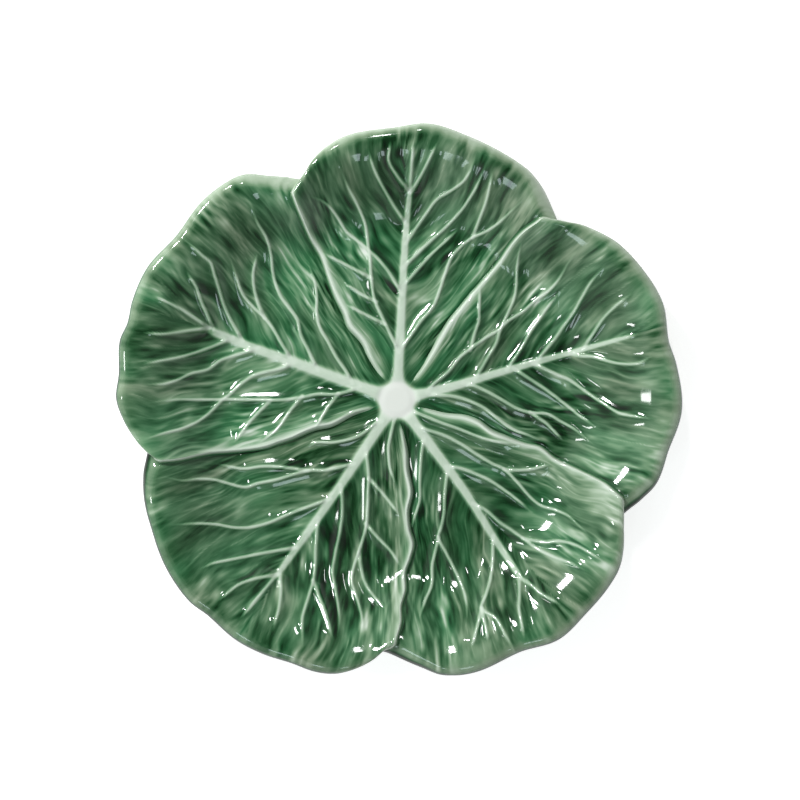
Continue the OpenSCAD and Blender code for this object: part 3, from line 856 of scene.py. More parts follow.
class Socket:
    """An output of a shader node that takes part in sums."""

    def __init__(self, tree: Shader, out: bpy.types.NodeSocket) -> None:
        """Keeps the output and the tree that it is in."""
        self.tree = tree
        self.out = out

    def _math(self, operation: str, first: Socket | float, second: Socket | float) -> Socket:
        """Adds a Math node."""
        return self.tree.add("ShaderNodeMath", "Value", {"operation": operation},
                             {0: first, 1: second})

    def __add__(self, other: Socket | float) -> Socket:
        """Adds."""
        return self._math("ADD", self, other)

    def __sub__(self, other: Socket | float) -> Socket:
        """Takes away."""
        return self._math("SUBTRACT", self, other)

    def __rsub__(self, other: Socket | float) -> Socket:
        """Takes this away from a number."""
        return self._math("SUBTRACT", other, self)

    def __mul__(self, other: Socket | float) -> Socket:
        """Multiplies."""
        return self._math("MULTIPLY", self, other)

    def __gt__(self, other: float) -> Socket:
        """Gives 1 where this is greater, and 0 elsewhere."""
        return self._math("GREATER_THAN", self, other)

    def __truediv__(self, other: Socket | float) -> Socket:
        """Divides."""
        return self._math("DIVIDE", self, other)

    def __pow__(self, other: float) -> Socket:
        """Raises to a power."""
        return self._math("POWER", self, other)

    __radd__ = __add__
    __rmul__ = __mul__


class Shader:
    """A node tree of a material or a world, filled from Python."""

    def __init__(self, owner: bpy.types.Material | bpy.types.World) -> None:
        """Empties a tree.

        Args:
            owner: The material or the world whose tree it is.
        """
        owner.use_nodes = True
        self.tree = owner.node_tree
        self.tree.nodes.clear()

    @staticmethod
    def _socket(sockets: bpy.types.bpy_prop_collection, key: str | int) -> bpy.types.NodeSocket:
        """Finds a socket.

        Args:
            sockets: A node's inputs or outputs.
            key: The socket's number, its identifier or its name.

        Returns:
            The socket.
        """
        if isinstance(key, int):
            return sockets[key]
        return next((s for s in sockets if s.identifier == key), None) or sockets[key]

    def add(self, kind: str, out: str, settings: dict[str, object],
            inputs: dict[str | int, Socket | object]) -> Socket:
        """Adds a node.

        Args:
            kind: Type of the node.
            out: Name of the output that is wanted.
            settings: What is set on the node first.
            inputs: A value or a link for each socket named.

        Returns:
            The output.
        """
        node = self.tree.nodes.new(kind)
        for key, value in settings.items():
            setattr(node, key, value)
        for key, value in inputs.items():
            socket = self._socket(node.inputs, key)
            if isinstance(value, Socket):
                self.tree.links.new(value.out, socket)
            else:
                socket.default_value = value
        return Socket(self, self._socket(node.outputs, out))

    def attribute(self, name: str, out: str = "Fac") -> Socket:
        """Reads one of the mesh's own values."""
        return self.add("ShaderNodeAttribute", out, {"attribute_name": name}, {})

    def ramp(self, factor: Socket, stops: Stops) -> Socket:
        """Turns a factor into a colour.

        Args:
            factor: What picks the colour, from 0 to 1.
            stops: Places on the ramp and their screen colours.

        Returns:
            The colour, in a straight line between two stops.
        """
        colour = self.add("ShaderNodeValToRGB", "Color", {}, {"Fac": factor})
        elements = colour.out.node.color_ramp.elements
        for _ in range(len(stops) - len(elements)):
            elements.new(0.5)
        for element, (place, rgb) in zip(elements, stops):
            element.position, element.color = place, srgb(*rgb)
        return colour

    def part(self, vector: Socket, axis: str) -> Socket:
        """Takes one coordinate of a vector."""
        return self.add("ShaderNodeSeparateXYZ", axis, {}, {"Vector": vector})

    def blend(self, factor: Socket | float, a: object, b: object) -> Socket:
        """Mixes two colours."""
        return self.add("ShaderNodeMix", "Result_Color", {"data_type": "RGBA"},
                        {"Factor_Float": factor, "A_Color": a, "B_Color": b})

    def noise(self, vector: Socket, scale: float, detail: float) -> Socket:
        """Reads a cloud of noise from 0 to 1."""
        return self.add("ShaderNodeTexNoise", "Fac", {},
                        {"Vector": vector, "Scale": scale, "Detail": detail})

    def rise(self, value: Socket, low: float, high: float) -> Socket:
        """Rises smoothly from 0 to 1 as a value goes from low to high."""
        return self.add("ShaderNodeMapRange", "Result", {"interpolation_type": "SMOOTHSTEP"},
                        {"Value": value, "From Min": low, "From Max": high})

    def finish(self, kind: str, surface: Socket) -> None:
        """Links the result to an output node."""
        node = self.tree.nodes.new(kind)
        self.tree.links.new(surface.out, node.inputs["Surface"])


@dataclass(frozen=True)
class Glaze:
    """Translucent green glaze: pale where it is thin, near black where it pools."""

    name: str = "green_glaze"
    roughness: float = 0.06
    ior: float = 1.55
    deep: Stops = (
        (0.0, (228, 230, 226)), (0.07, (208, 222, 207)), (0.2, (164, 189, 164)),
        (0.34, (107, 150, 113)), (0.5, (58, 114, 75)), (0.66, (29, 84, 48)),
        (0.82, (7, 50, 22)), (1.0, (1, 22, 6)))
    dull: Stops = (
        (0.0, (226, 229, 224)), (0.08, (208, 217, 204)), (0.2, (166, 184, 160)),
        (0.34, (132, 150, 124)), (0.5, (92, 118, 90)), (0.66, (50, 86, 55)),
        (0.82, (12, 52, 21)), (1.0, (2, 23, 6)))
    streaked: float = 0.4
    ripple_scale: float = 260.0
    ripple_strength: float = 0.2
    ripple_h: float = 0.05 * MM

    def material(self) -> bpy.types.Material:
        """Builds the material.

        Returns:
            The material. The mesh's depth value, a little streaked along its flow, picks a
            colour on two ramps, and its dullness mixes them. A faint ripple keeps the
            reflections from being flawless.
        """
        made = bpy.data.materials.new(self.name)
        shader = Shader(made)
        flow = shader.attribute("flow", "Vector")
        cloud = shader.noise(flow, 1.0, 2.0) - 0.5
        depth = shader.attribute("depth") * (cloud * self.streaked + 1.0)
        colours = [shader.ramp(depth, stops) for stops in (self.deep, self.dull)]
        place = shader.add("ShaderNodeTexCoord", "Object", {}, {})
        ripple = shader.noise(place, self.ripple_scale, 1.0)
        normal = shader.add("ShaderNodeBump", "Normal", {},
                            {"Height": ripple, "Strength": self.ripple_strength,
                             "Distance": self.ripple_h})
        surface = shader.add(
            "ShaderNodeBsdfPrincipled", "BSDF", {},
            {"Base Color": shader.blend(shader.attribute("dull"), *colours),
             "Roughness": self.roughness, "IOR": self.ior, "Normal": normal})
        shader.finish("ShaderNodeOutputMaterial", surface)
        return made


@dataclass(frozen=True)
class FootGlaze(Glaze):
    """The same glaze on the foot ring, wiped off the edge that stands in the kiln.

    Bare is the height up to which it is wiped off, give or take half of ragged.
    """

    name: str = "foot_glaze"
    ior: float = 1.5
    bare: float = 0.9 * MM
    ragged: float = 0.5 * MM
    clay: Colour = (206, 190, 168)
    dark_clay: Colour = (176, 156, 132)
    cloud_scale: float = 90.0
    grain_scale: float = 900.0
    clay_roughness: float = 0.85
    smoother: float = 0.78

    def material(self) -> bpy.types.Material:
        """Builds the material.

        Returns:
            The material: bare clay below a height, and glaze above it.
        """
        made = bpy.data.materials.new(self.name)
        shader = Shader(made)
        place = shader.add("ShaderNodeTexCoord", "Object", {}, {})
        cloud = shader.noise(place, self.cloud_scale, 3.0)
        height = shader.part(place, "Z")
        glazed = (height + (cloud - 0.5) * self.ragged) > self.bare
        depth = shader.attribute("depth") + (cloud - 0.5) * self.streaked
        green = shader.ramp(depth, self.deep)
        grain = shader.noise(place, self.grain_scale, 4.0)
        clay = shader.blend(grain, srgb(*self.clay), srgb(*self.dark_clay))
        surface = shader.add(
            "ShaderNodeBsdfPrincipled", "BSDF", {},
            {"Base Color": shader.blend(glazed, clay, green),
             "Roughness": self.clay_roughness - glazed * self.smoother, "IOR": self.ior})
        shader.finish("ShaderNodeOutputMaterial", surface)
        return made


@dataclass
class Ground:
    """The points of a leaf's top, with what its relief and its glaze go by.

    Own is the part of the way to the rim. Gap is the way to the free edge, and pooled is
    1 in the corner where the leaf comes out from under its neighbour. Line says where the
    grain leaves the midrib, with its sign turned on the anticlockwise side, and sway is
    how far the grain strays from that.
    """

    share: np.ndarray
    own: np.ndarray
    radius: np.ndarray
    angle: np.ndarray
    x: np.ndarray
    y: np.ndarray
    gap: np.ndarray
    pooled: np.ndarray
    line: np.ndarray
    sway: np.ndarray
    ribs: Ribs


@dataclass(frozen=True)
class Strand:
    """A kind of streak along the grain of a leaf.

    It has so many cells of noise for each share across the grain and along it, from a
    start cell on. It takes a part of the grain's sway, and adds draw to the seed.
    """

    across: float
    along: float
    start: tuple[float, float]
    sway: float = 1.0
    layers: int = 1
    draw: int = 0

    def read(self, seed: int, ground: Ground) -> np.ndarray:
        """Reads the streaks.

        Args:
            seed: The seed that draw is added to.
            ground: The points.

        Returns:
            Values from -1 to 1.
        """
        u = (ground.line + self.sway * ground.sway) * self.across + self.start[0]
        v = ground.share * self.along + self.start[1]
        return Streaks(seed + self.draw).layered(u, v, self.layers)


@dataclass(frozen=True)
class Coat:
    """How deep the glaze lies on a leaf's top and how dull it is, both from 0 to 1.

    The courses clear, grown, middle and edge_* are read at the share, and those of the
    wall, the threads, the veinlets and the painted light at the rim at the part of the
    way to the rim.
    The weights say what each part adds to the depth and the dullness.
    """

    fine: Strand = Strand(36, 15, (30, 9), layers=2, draw=1)
    bands: Strand = Strand(13, 5, (20, 20), sway=0.8)
    tints: Strand = Strand(10, 5, (20, 20), sway=0.8)
    thread: Strand = Strand(20, 4, (25, 5), draw=13)
    veinlet: Strand = Strand(18, 3.5, (35, 15), draw=19)
    thread_w: float = 0.11
    veinlet_w: float = 0.1
    veinlet_gap: float = 2.0 * MM
    calm: Cloud = Cloud(17.0 * MM, 25, draw=17)
    calm_by: float = 0.7
    patches: Cloud = Cloud(24.0 * MM, 20, layers=2)
    clear: Course = Course(0.0, ((0.05, 0.12, 1.0),))
    grown: Course = Course(0.4, ((0.1, 0.22, 1.0),))
    middle: Course = Course(1.0, ((0.1, 0.12, 0.0),))
    wall: Course = Course(0.0, ((0.45, 0.4, 1.0),))
    thread_on: Course = Course(1.0, ((0.78, 0.14, 0.0),))
    veinlet_on: Course = Course(0.0, ((0.3, 0.25, 1.0), (0.92, 0.06, 0.0)))
    # Painted light: the glaze is made paler near the rim towards the front right, where the
    # wall faces the lamps.
    painted_light_on: Course = Course(0.0, ((0.85, 0.09, 1.0),))
    painted_light_at: float = -38.0
    south_at: float = 268.0
    hollow_gap: float = 1.8 * MM
    hollow_w: float = 1.4 * MM
    edge_on: Course = Course(0.0, ((0.07, 0.04, 1.0),))
    edge_near: Course = Course(0.8, ((0.25, 0.2, 0.56), (0.6, 0.2, 0.43)))
    edge_broad: Course = Course(0.0, ((0.15, 0.2, 0.35), (0.62, 0.15, 0.14)))
    edge_narrow: Course = Course(0.5, ((0.06, 0.1, 1.0),))
    edge_start: float = 0.5 * MM
    near_w: float = 1.5 * MM
    broad_w: float = 4.0 * MM
    plain: float = 0.557
    streak_weights: Weights = (("fine", 0.29), ("bands", 0.13), ("patches", 0.18))
    weights: Weights = (
        ("thread", -0.12), ("veinlet", -0.12), ("wall", 0.03), ("middle", 0.1),
        # The negative weight at the front right rim is painted light.
        ("south", 0.07), ("painted_light", -0.1), ("hollow", 0.04), ("pooled", 0.12))
    edge_depth: float = 0.07
    rib_depth: float = 0.085
    heart_depth: float = 0.02
    plain_dull: float = 0.42
    dull_weights: Weights = (("wall", 0.08), ("patches", 0.3), ("tints", 0.45))
    edge_dull: float = 0.7

    def parts(self, ground: Ground, seed: int, seeds: tuple[int, int, int]
              ) -> dict[str, np.ndarray]:
        """Reads every part of the relief and the glaze.

        Args:
            ground: The points.
            seed: The leaf's own seed.
            seeds: Its seeds of the patches, bands and tints.

        Returns:
            Values by name. The fine streaks are calmer in some places than in others. A
            thread or a veinlet is the bell of a strand round 0. The hollow is the bell of
            the gap to the ribs. South and the painted light face two azimuths: the first lies
            on the well, and the second, painted light that pales the glaze, at the rim.
        """
        share, own, x, y = ground.share, ground.own, ground.x, ground.y
        patch_seed, band_seed, tint_seed = seeds
        clear, wall = self.clear.at(share), self.wall.at(own)
        calm = 1 + self.calm_by * self.calm.read(seed, x, y)
        thread = bell(self.thread.read(seed, ground), self.thread_w)
        veinlet = bell(self.veinlet.read(seed, ground), self.veinlet_w)
        return {
            "fine": self.fine.read(seed, ground) * calm * self.grown.at(share),
            "bands": self.bands.read(band_seed, ground),
            "tints": self.tints.read(tint_seed, ground),
            "patches": self.patches.read(patch_seed, x, y),
            "clear": clear,
            "wall": wall,
            "thread": thread * clear * self.thread_on.at(own),
            "veinlet": (veinlet * self.veinlet_on.at(own)
                        * (1 - np.exp(-ground.ribs.gap / self.veinlet_gap))),
            "middle": self.middle.at(share),
            "south": towards(ground.angle, self.south_at) * (1 - wall),
            # Painted light: paler glaze at the front right rim, where the light falls.
            "painted_light": towards(ground.angle, self.painted_light_at) * self.painted_light_on.at(own),
            "hollow": bell(ground.ribs.gap - self.hollow_gap, self.hollow_w),
            "pooled": ground.pooled}

    def edge_band(self, ground: Ground) -> np.ndarray:
        """Works out the pale band along the free edge.

        Args:
            ground: The points.

        Returns:
            How pale it is, at most 1: a near level times exp(-gap / the near width) and a
            broad one times exp(-gap / the broad width).
        """
        share, inside = ground.share, np.clip(ground.gap - self.edge_start, 0, None)
        near = np.exp(-inside / (self.near_w * self.edge_narrow.at(share)))
        broad = np.exp(-inside / self.broad_w)
        band = self.edge_near.at(share) * near + self.edge_broad.at(share) * broad
        return np.minimum(band * self.edge_on.at(share), 1.0)

    def lay(self, ground: Ground, parts: dict[str, np.ndarray], boss: np.ndarray
            ) -> tuple[np.ndarray, np.ndarray]:
        """Adds the parts up, and thins the glaze on the free edge, the ribs and the heart.

        Args:
            ground: The points.
            parts: What parts gives for them.
            boss: Pale mask of the heart.

        Returns:
            Depth and dullness.
        """
        band = self.edge_band(ground)
        depth = (self.plain + parts["clear"] * weigh(parts, self.streak_weights)
                 + weigh(parts, self.weights))
        for level, where in ((self.edge_depth, band),
                             (self.rib_depth, np.clip(ground.ribs.pale, 0, 1)),
                             (self.heart_depth, boss)):
            depth = mix(depth, level, where)
        dull = np.clip(self.plain_dull + weigh(parts, self.dull_weights), 0, 1)
        return depth, dull * (1 - np.clip(ground.ribs.pale + self.edge_dull * band, 0, 1))


@dataclass(frozen=True)
class RimCoat:
    """The glaze round the rim and on the underside of a leaf.

    The glaze is thin and pale all round the rim, and more so at the back, partly as
    painted light where the back of the rim faces the lamps. It is paler still at the
    front right as painted light where the light falls, and the dark line on the very
    edge of the front is painted shade. Ways are directions as (x, y). The course back is
    read at how far a point's direction goes the back way, and the painted light at the
    fourth power of how far it goes its own way.
    """

    width: float = 6.5 * MM
    depth: float = 0.15
    dull: float = 0.8
    # Thinning at the front and at the back of the rim; the extra at the back is partly painted
    # light.
    thin: tuple[float, float] = (0.42, 0.93)
    back_way: tuple[float, float] = (0.139, 0.99)
    back: Course = Course(0.0, ((-0.3, 1.2, 1.0),))
    # Painted light: extra paleness towards the front right, where the light falls.
    rim_painted_light_way: tuple[float, float] = (0.788, -0.616)
    rim_painted_light_pale: float = 0.45
    # Painted shade: a dark line on the very edge of the front of the rim, which turns away from
    # the lamps.
    shade_line_w: float = 1.35 * MM
    line: float = 0.95
    shade_line_dull: float = 0.4
    under: float = 0.55
    under_dull: float = 0.3
    mottle: Cloud = Cloud(12.0 * MM, 30, layers=3)
    mottle_by: float = 0.25
    mottle_seed: int = 77
    flow_cell: float = 4.0 * MM

    def turn_under(self, x: np.ndarray, y: np.ndarray, values: dict[str, np.ndarray],
                   turned: np.ndarray) -> dict[str, np.ndarray]:
        """Carries the glaze's values round the lip and along the underside.

        Args:
            x: First coordinates of the lip's and the underside's points.
            y: Second coordinates.
            values: Values of the top's points, by line and row.
            turned: How far round the lip each row has come.

        Returns:
            The values of all the points. Depth runs on from the rim, dullness goes over
            to the underside's, and the flow is the place itself.
        """
        rim = {key: values[key][:, -1:] + 0 * x for key in ("depth", "dull")}
        under = {"depth": rim["depth"], "dull": mix(rim["dull"], self.under_dull, turned),
                 "flow": np.stack([x / self.flow_cell, y / self.flow_cell,
                                   np.zeros_like(x)], -1)}
        return {key: np.concatenate([values[key], under[key]], 1) for key in under}

    def lay(self, points: np.ndarray, inside: np.ndarray, turned: np.ndarray,
            values: dict[str, np.ndarray]) -> None:
        """Thins the glaze on the rim, partly as painted light, paints a shade line on the
        front edge and mottles the underside.

        Args:
            points: Points by line, then round each line's loop.
            inside: How far in from the rim each of them lies.
            turned: How far round the lip each row of the lip and the underside has come.
            values: Depth and dullness, which are changed.
        """
        radius = np.hypot(points[..., 0], points[..., 1])
        x, y = points[..., 0] / radius, points[..., 1] / radius
        # Thin glaze all round the rim, more at the back, partly as painted light where it faces
        # the lamps.
        back = self.back.at(y * self.back_way[1] + x * self.back_way[0])
        # Painted light: paler glaze towards the front right of the rim.
        rim_painted_light = np.clip(x * self.rim_painted_light_way[0] + y * self.rim_painted_light_way[1], 0, 1) ** 4
        thin = (mix(*self.thin, back) + self.rim_painted_light_pale * rim_painted_light) * (1 - ease(inside / self.width))
        # Painted shade: deep, dark glaze on the front edge, where the rim turns away from the
        # lamps.
        line = self.line * (1 - back) * (1 - ease(inside / self.shade_line_w))
        depth, dull = values["depth"], values["dull"]
        depth[:] = mix(mix(depth, self.depth, thin), 1.0, line)
        dull[:] = mix(mix(dull, self.dull, thin), self.shade_line_dull, line)
        rest = turned.shape[1]
        mottle = self.mottle.read(self.mottle_seed, points[:, -rest:, 0], points[:, -rest:, 1])
        depth[:, -rest:] = mix(depth[:, -rest:], self.under - self.mottle_by * mottle, turned)


@dataclass
class GlazedLeaf:
    """One leaf with its ribs, as a closed skin with all its relief in the mesh."""

    form: PlateForm
    k: int
    coat: Coat = Coat()
    rim_coat: RimCoat = RimCoat()
    first_seed: int = 11
    seed_step: int = 100
    columns: int = 340
    flank_columns: int = 16
    crowd: float = 0.35
    top_rows: int = 232
    lip_rows: int = 13
    low_rows: int = 18
    hidden_w: float = 3.0 * MM
    flank_w: float = 2.3 * MM
    flank_sink: float = 0.6 * MM
    flank_reach: Course = Course(0.75, ((0.2, 0.55, 1.2),))
    flank_depth: Rows = (
        (0, 0.07), (0.3, 0.1), (0.52, 0.24), (0.7, 0.42), (0.86, 0.56), (1, 0.62))
    edge_bump: float = 0.35 * MM
    bump_w: float = 1.6 * MM
    lip_w: float = 4.8 * MM
    lip_drop: float = 0.84
    inner_share: float = 0.048
    steep_share: float = 0.2
    tuck_spread: float = 0.2
    seam_rise: float = 0.6 * MM
    seam_gap: float = 0.2 * MM
    seam_w: float = 1.5 * MM
    crevice: float = 0.35 * MM
    crevice_w: float = 0.8 * MM
    wrinkle: float = 0.03 * MM
    wrinkle_bands: float = 5.0
    rib_calm: float = 0.8
    rib_calm_w: float = 3.0 * MM
    wall_calm: float = 0.75
    grain_turn: float = 34.0
    grain_end: float = 0.88
    grain_bend: float = 0.13
    sway: Cloud = Cloud(14.0 * MM, 40)
    sway_by: float = 0.026
    flow_scale: tuple[float, float, float] = (60.0, 18.0, 5.0)

    @property
    def plan(self) -> LeafPlan:
        """Gives the leaf's own plan."""
        return PLANS[self.k]

    @property
    def seed(self) -> int:
        """Gives the leaf's own seed, to which each kind of noise adds its draw."""
        return self.first_seed + self.seed_step * self.k

    @property
    def name(self) -> str:
        """Gives the piece's name."""
        return f"glazed_leaf_{self.plan.side.value}"

    def _lines(self) -> tuple[np.ndarray, np.ndarray, np.ndarray]:
        """Places the lines across the leaf, closer together towards its two sides.

        Returns:
            For each line its share of the way from the covered side to the free edge, its
            share of the way down the flank beyond that edge, and its share of the tuck.
        """
        t = np.linspace(0, 1, self.columns)
        f = t - self.crowd * np.sin(2 * np.pi * t) / (2 * np.pi)
        beyond = np.linspace(0, 1, self.flank_columns + 1)[1:]
        f = np.concatenate([f, np.ones(self.flank_columns)])
        beyond = np.concatenate([np.zeros(self.columns), beyond])
        return f, beyond, np.maximum(0.0, 1 - np.minimum(f, 1 - f) / self.tuck_spread)

    def _angle(self, f: np.ndarray, beyond: np.ndarray, share: np.ndarray) -> np.ndarray:
        """Places a line's points, between the leaf's two edges or out on its flank.

        Args:
            f: The line's share of the way across.
            beyond: Its share of the way down the flank.
            share: Shares of the points.

        Returns:
            Their angles. The leaf starts the hidden width before the covered edge.
        """
        form = self.form
        start = form.edge_at(self.k - 1, share) - form.degrees(
            self.hidden_w, share, self.steep_share)
        flank = form.degrees(self.flank_w, share, self.steep_share)
        return mix(start, form.edge_at(self.k, share), f) + flank * beyond

    def flow(self, share: np.ndarray, off: np.ndarray) -> np.ndarray:
        """Finds where the grain of the leaf that passes a point leaves the midrib.

        A line of grain that leaves the midrib at share s has turned away from it by
        turn (1 - s / end) (1 - exp(-(share - s) / bend)) degrees at a share. The share s
        is found by halving the range from -2 to the point's own share 20 times.

        Args:
            share: Shares of the points.
            off: Their angles from the midrib.

        Returns:
            The shares at which the lines of grain leave the midrib.
        """
        low, high = np.full(share.shape, -2.0), share.copy()
        for _ in range(20):
            middle = 0.5 * (low + high)
            bent = 1 - np.exp(-(share - middle) / self.grain_bend)
            beyond = self.grain_turn * (1 - middle / self.grain_end) * bent > np.abs(off)
            low, high = np.where(beyond, middle, low), np.where(beyond, high, middle)
        return 0.5 * (low + high)

    def _ground(self, share: np.ndarray, angle: np.ndarray, rim: np.ndarray) -> Ground:
        """Works out what the relief and the glaze of the top go by.

        Args:
            share: Shares of the points.
            angle: Their directions.
            rim: Share of the rim on each point's line.

        Returns:
            All of it. What is pooled falls off with the gap from the flank of the leaf
            before, and comes in away from the heart.
        """
        form, plan = self.form, self.plan
        radius = share * form.reach
        x, y = radius * np.cos(np.radians(angle)), radius * np.sin(np.radians(angle))
        off = angle - plan.midrib_at
        covered = np.clip(-form.edge_gap(self.k - 1, share, angle) - self.flank_w, 0, None)
        return Ground(
            share=share, own=share / rim, radius=radius, angle=angle, x=x, y=y,
            gap=form.edge_gap(self.k, share, angle),
            pooled=np.exp(-covered / self.crevice_w) * form.clear.at(share),
            line=self.flow(share, off) * np.where(off < 0, 1.0, -1.0),
            sway=self.sway.read(self.seed, x, y) * self.sway_by,
            ribs=Ribs.over(x, y, plan, form, plan.ribs()))

    def _relief(self, share: np.ndarray, angle: np.ndarray, rim: np.ndarray
                ) -> tuple[np.ndarray, dict[str, np.ndarray]]:
        """Works out the relief of the top and the glaze on it.

        Args:
            share: Shares of the points.
            angle: Their directions.
            rim: Share of the rim on each point's line.

        Returns:
            Heights over the plain top, and the values that the glaze reads. The heights
            are the ribs and the boss, less the crevice where the glaze pools, and
            wrinkles, which are the same streaks as the glaze's and calm near ribs.
        """
        ground = self._ground(share, angle, rim)
        parts = self.coat.parts(ground, self.seed, self.plan.seeds)
        calm = ((1 - self.rib_calm * np.exp(-ground.ribs.gap / self.rib_calm_w))
                * (1 - self.wall_calm * parts["wall"]))
        wrinkles = parts["fine"] + self.wrinkle_bands * parts["bands"]
        height = (self.form.boss(ground.radius, ground.ribs.height)
                  - self.crevice * ground.pooled
                  + self.wrinkle * parts["clear"] * calm * wrinkles)
        depth, dull = self.coat.lay(ground, parts, self.form.boss_pale.at(ground.radius))
        across, along_it, apart = self.flow_scale
        flow = np.stack([(ground.line + ground.sway) * across, share * along_it,
                         np.full(share.shape, self.k * apart)], -1)
        return height, {"depth": depth, "dull": dull, "flow": flow,
                        "inside": (rim - share) * self.form.reach}

    def build(self) -> Skin:
        """Builds the leaf, line by line across it.

        Returns:
            The closed skin. Each line runs out along the top, round the lip and back
            underneath. The height is the plain top with the lift, the bump along the free
            edge and the relief, which all fade down the flank as that sinks.
        """
        form = self.form
        f, beyond, tucked = (a[:, None] for a in self._lines())
        one = np.ones_like(f)
        end = self._angle(f, beyond, one)
        notch = form.edge_at(self.k - 1, one)
        rim = np.where(end < notch, form.rim_at(self.k, notch), form.rim_at(self.k, end))
        out = rim - self.lip_w / form.reach
        share = mix(self.inner_share, out, np.linspace(0, 1, self.top_rows)[None, :])
        angle = self._angle(f, beyond, share)
        gap = np.maximum(form.edge_gap(self.k, share, angle), 0.0)
        clear, down = form.clear.at(share), ease(beyond)
        relief, values = self._relief(share, angle, rim + 0 * share)
        bump = self.edge_bump * bell(gap, self.bump_w) * clear
        over = (form.lift(share, gap) + bump + relief) * (1 - down)
        reached = np.minimum(beyond * self.flank_reach.at(share), 1.0)
        flank = mix(values["depth"], along(reached, self.flank_depth), clear)
        values["depth"] = np.where(beyond > 0, flank, values["depth"])
        z = form.top(share, rim) + over - self.flank_sink * clear * down
        top = np.stack([share * form.reach, angle, z], -1)
        low = self._low_side(f, tucked, rim)
        polar = np.concatenate([top, self._lip(top[:, -1:, :], low[:, :1, :]), low], 1)
        radius, degrees, z = polar[..., 0], np.radians(polar[..., 1]), polar[..., 2]
        points = np.stack([radius * np.cos(degrees), radius * np.sin(degrees), z], -1)
        return self._close(points, values)

    def _lip(self, top: np.ndarray, low: np.ndarray) -> np.ndarray:
        """Rolls the rim over from the last row of the top to the first of the underside.

        Args:
            top: Distances from the middle, angles and heights of the one row.
            low: The same of the other row.

        Returns:
            The rows between them, by line: two quarters of ellipses that meet at the
            lip's part of the drop.
        """
        turn = np.linspace(0, np.pi, self.lip_rows + 2)[None, 1:-1, None]
        below = np.where(turn < np.pi / 2, self.lip_drop, 1 - self.lip_drop)
        lip = mix(top, low, self.lip_drop - np.cos(turn) * below)
        lip[..., 0:1] += self.lip_w * np.sin(turn)
        return lip

    def _low_side(self, f: np.ndarray, tucked: np.ndarray, rim: np.ndarray) -> np.ndarray:
        """Places the rows of the underside, from the rim in.

        Args:
            f: Each line's share of the way across.
            tucked: Its share of the tuck.
            rim: The share of its rim.

        Returns:
            Distances from the middle, angles and heights, by line and row. Where the
            next leaf's covered side lies under this one, this one's underside rises.
        """
        form = self.form
        out = rim - self.lip_w / form.reach
        share = mix(out, self.inner_share, np.linspace(0, 1, self.low_rows)[None, :])
        clay = mix(form.clay, form.rim_clay, form.rim_thins.at(share / rim))
        angle = self._angle(f, 0 * f, share)
        hidden = np.radians(form.degrees(self.hidden_w, share, self.steep_share))
        under = hidden * share * form.reach - form.edge_gap(self.k, share, angle)
        rise = self.seam_rise * ease((under + self.seam_gap) / self.seam_w)
        z = form.top(share, rim) - clay + rise
        return np.stack([share * form.reach, angle - tucked * form.tuck(share), z], -1)

    def _close(self, points: np.ndarray, values: dict[str, np.ndarray]) -> Skin:
        """Joins the lines and closes the two sides.

        Args:
            points: Points by line, then round each line's loop.
            values: Values of the top's points, by line and row.

        Returns:
            The closed skin.
        """
        lines, around = points.shape[:2]
        rest = self.lip_rows + self.low_rows
        x, y = points[:, -rest:, 0], points[:, -rest:, 1]
        step = np.clip((np.arange(rest) + 1) / (self.lip_rows + 1), 0, 1)[None, :]
        lip_in = self.lip_w * (1 - np.sin(np.pi * np.minimum(step, 0.5))) + 0 * x
        inside = np.concatenate([values.pop("inside"), lip_in], 1)
        turned = ease(step * 2 - 1)
        merged = self.rim_coat.turn_under(x, y, values, turned)
        self.rim_coat.lay(points, inside, turned, merged)
        flat = {key: a.reshape(-1) if a.ndim == 2 else a.reshape(-1, 3)
                for key, a in merged.items()}
        faces = [grid_faces(lines, around, False)]
        top_row = np.arange(self.top_rows + self.lip_rows)
        low_row = np.arange(around - 1, self.top_rows + self.lip_rows - 1, -1)
        side = cap_faces(top_row, low_row)
        faces.append(np.concatenate([side, side[:, ::-1] + (lines - 1) * around]))
        return Skin(points.reshape(-1, 3), faces, flat)

    def dress(self, finish: bpy.types.Material) -> bpy.types.Object:
        """Makes the piece and sets it in the place of its nodes.

        Args:
            finish: The material that it is given.

        Returns:
            The new object.
        """
        piece = self.build().to_object(self.name)
        piece.data.materials.append(finish)
        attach(piece, "root")
        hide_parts(f"leaf_{self.plan.side.value}", f"ribs_{self.plan.side.value}")
        return piece


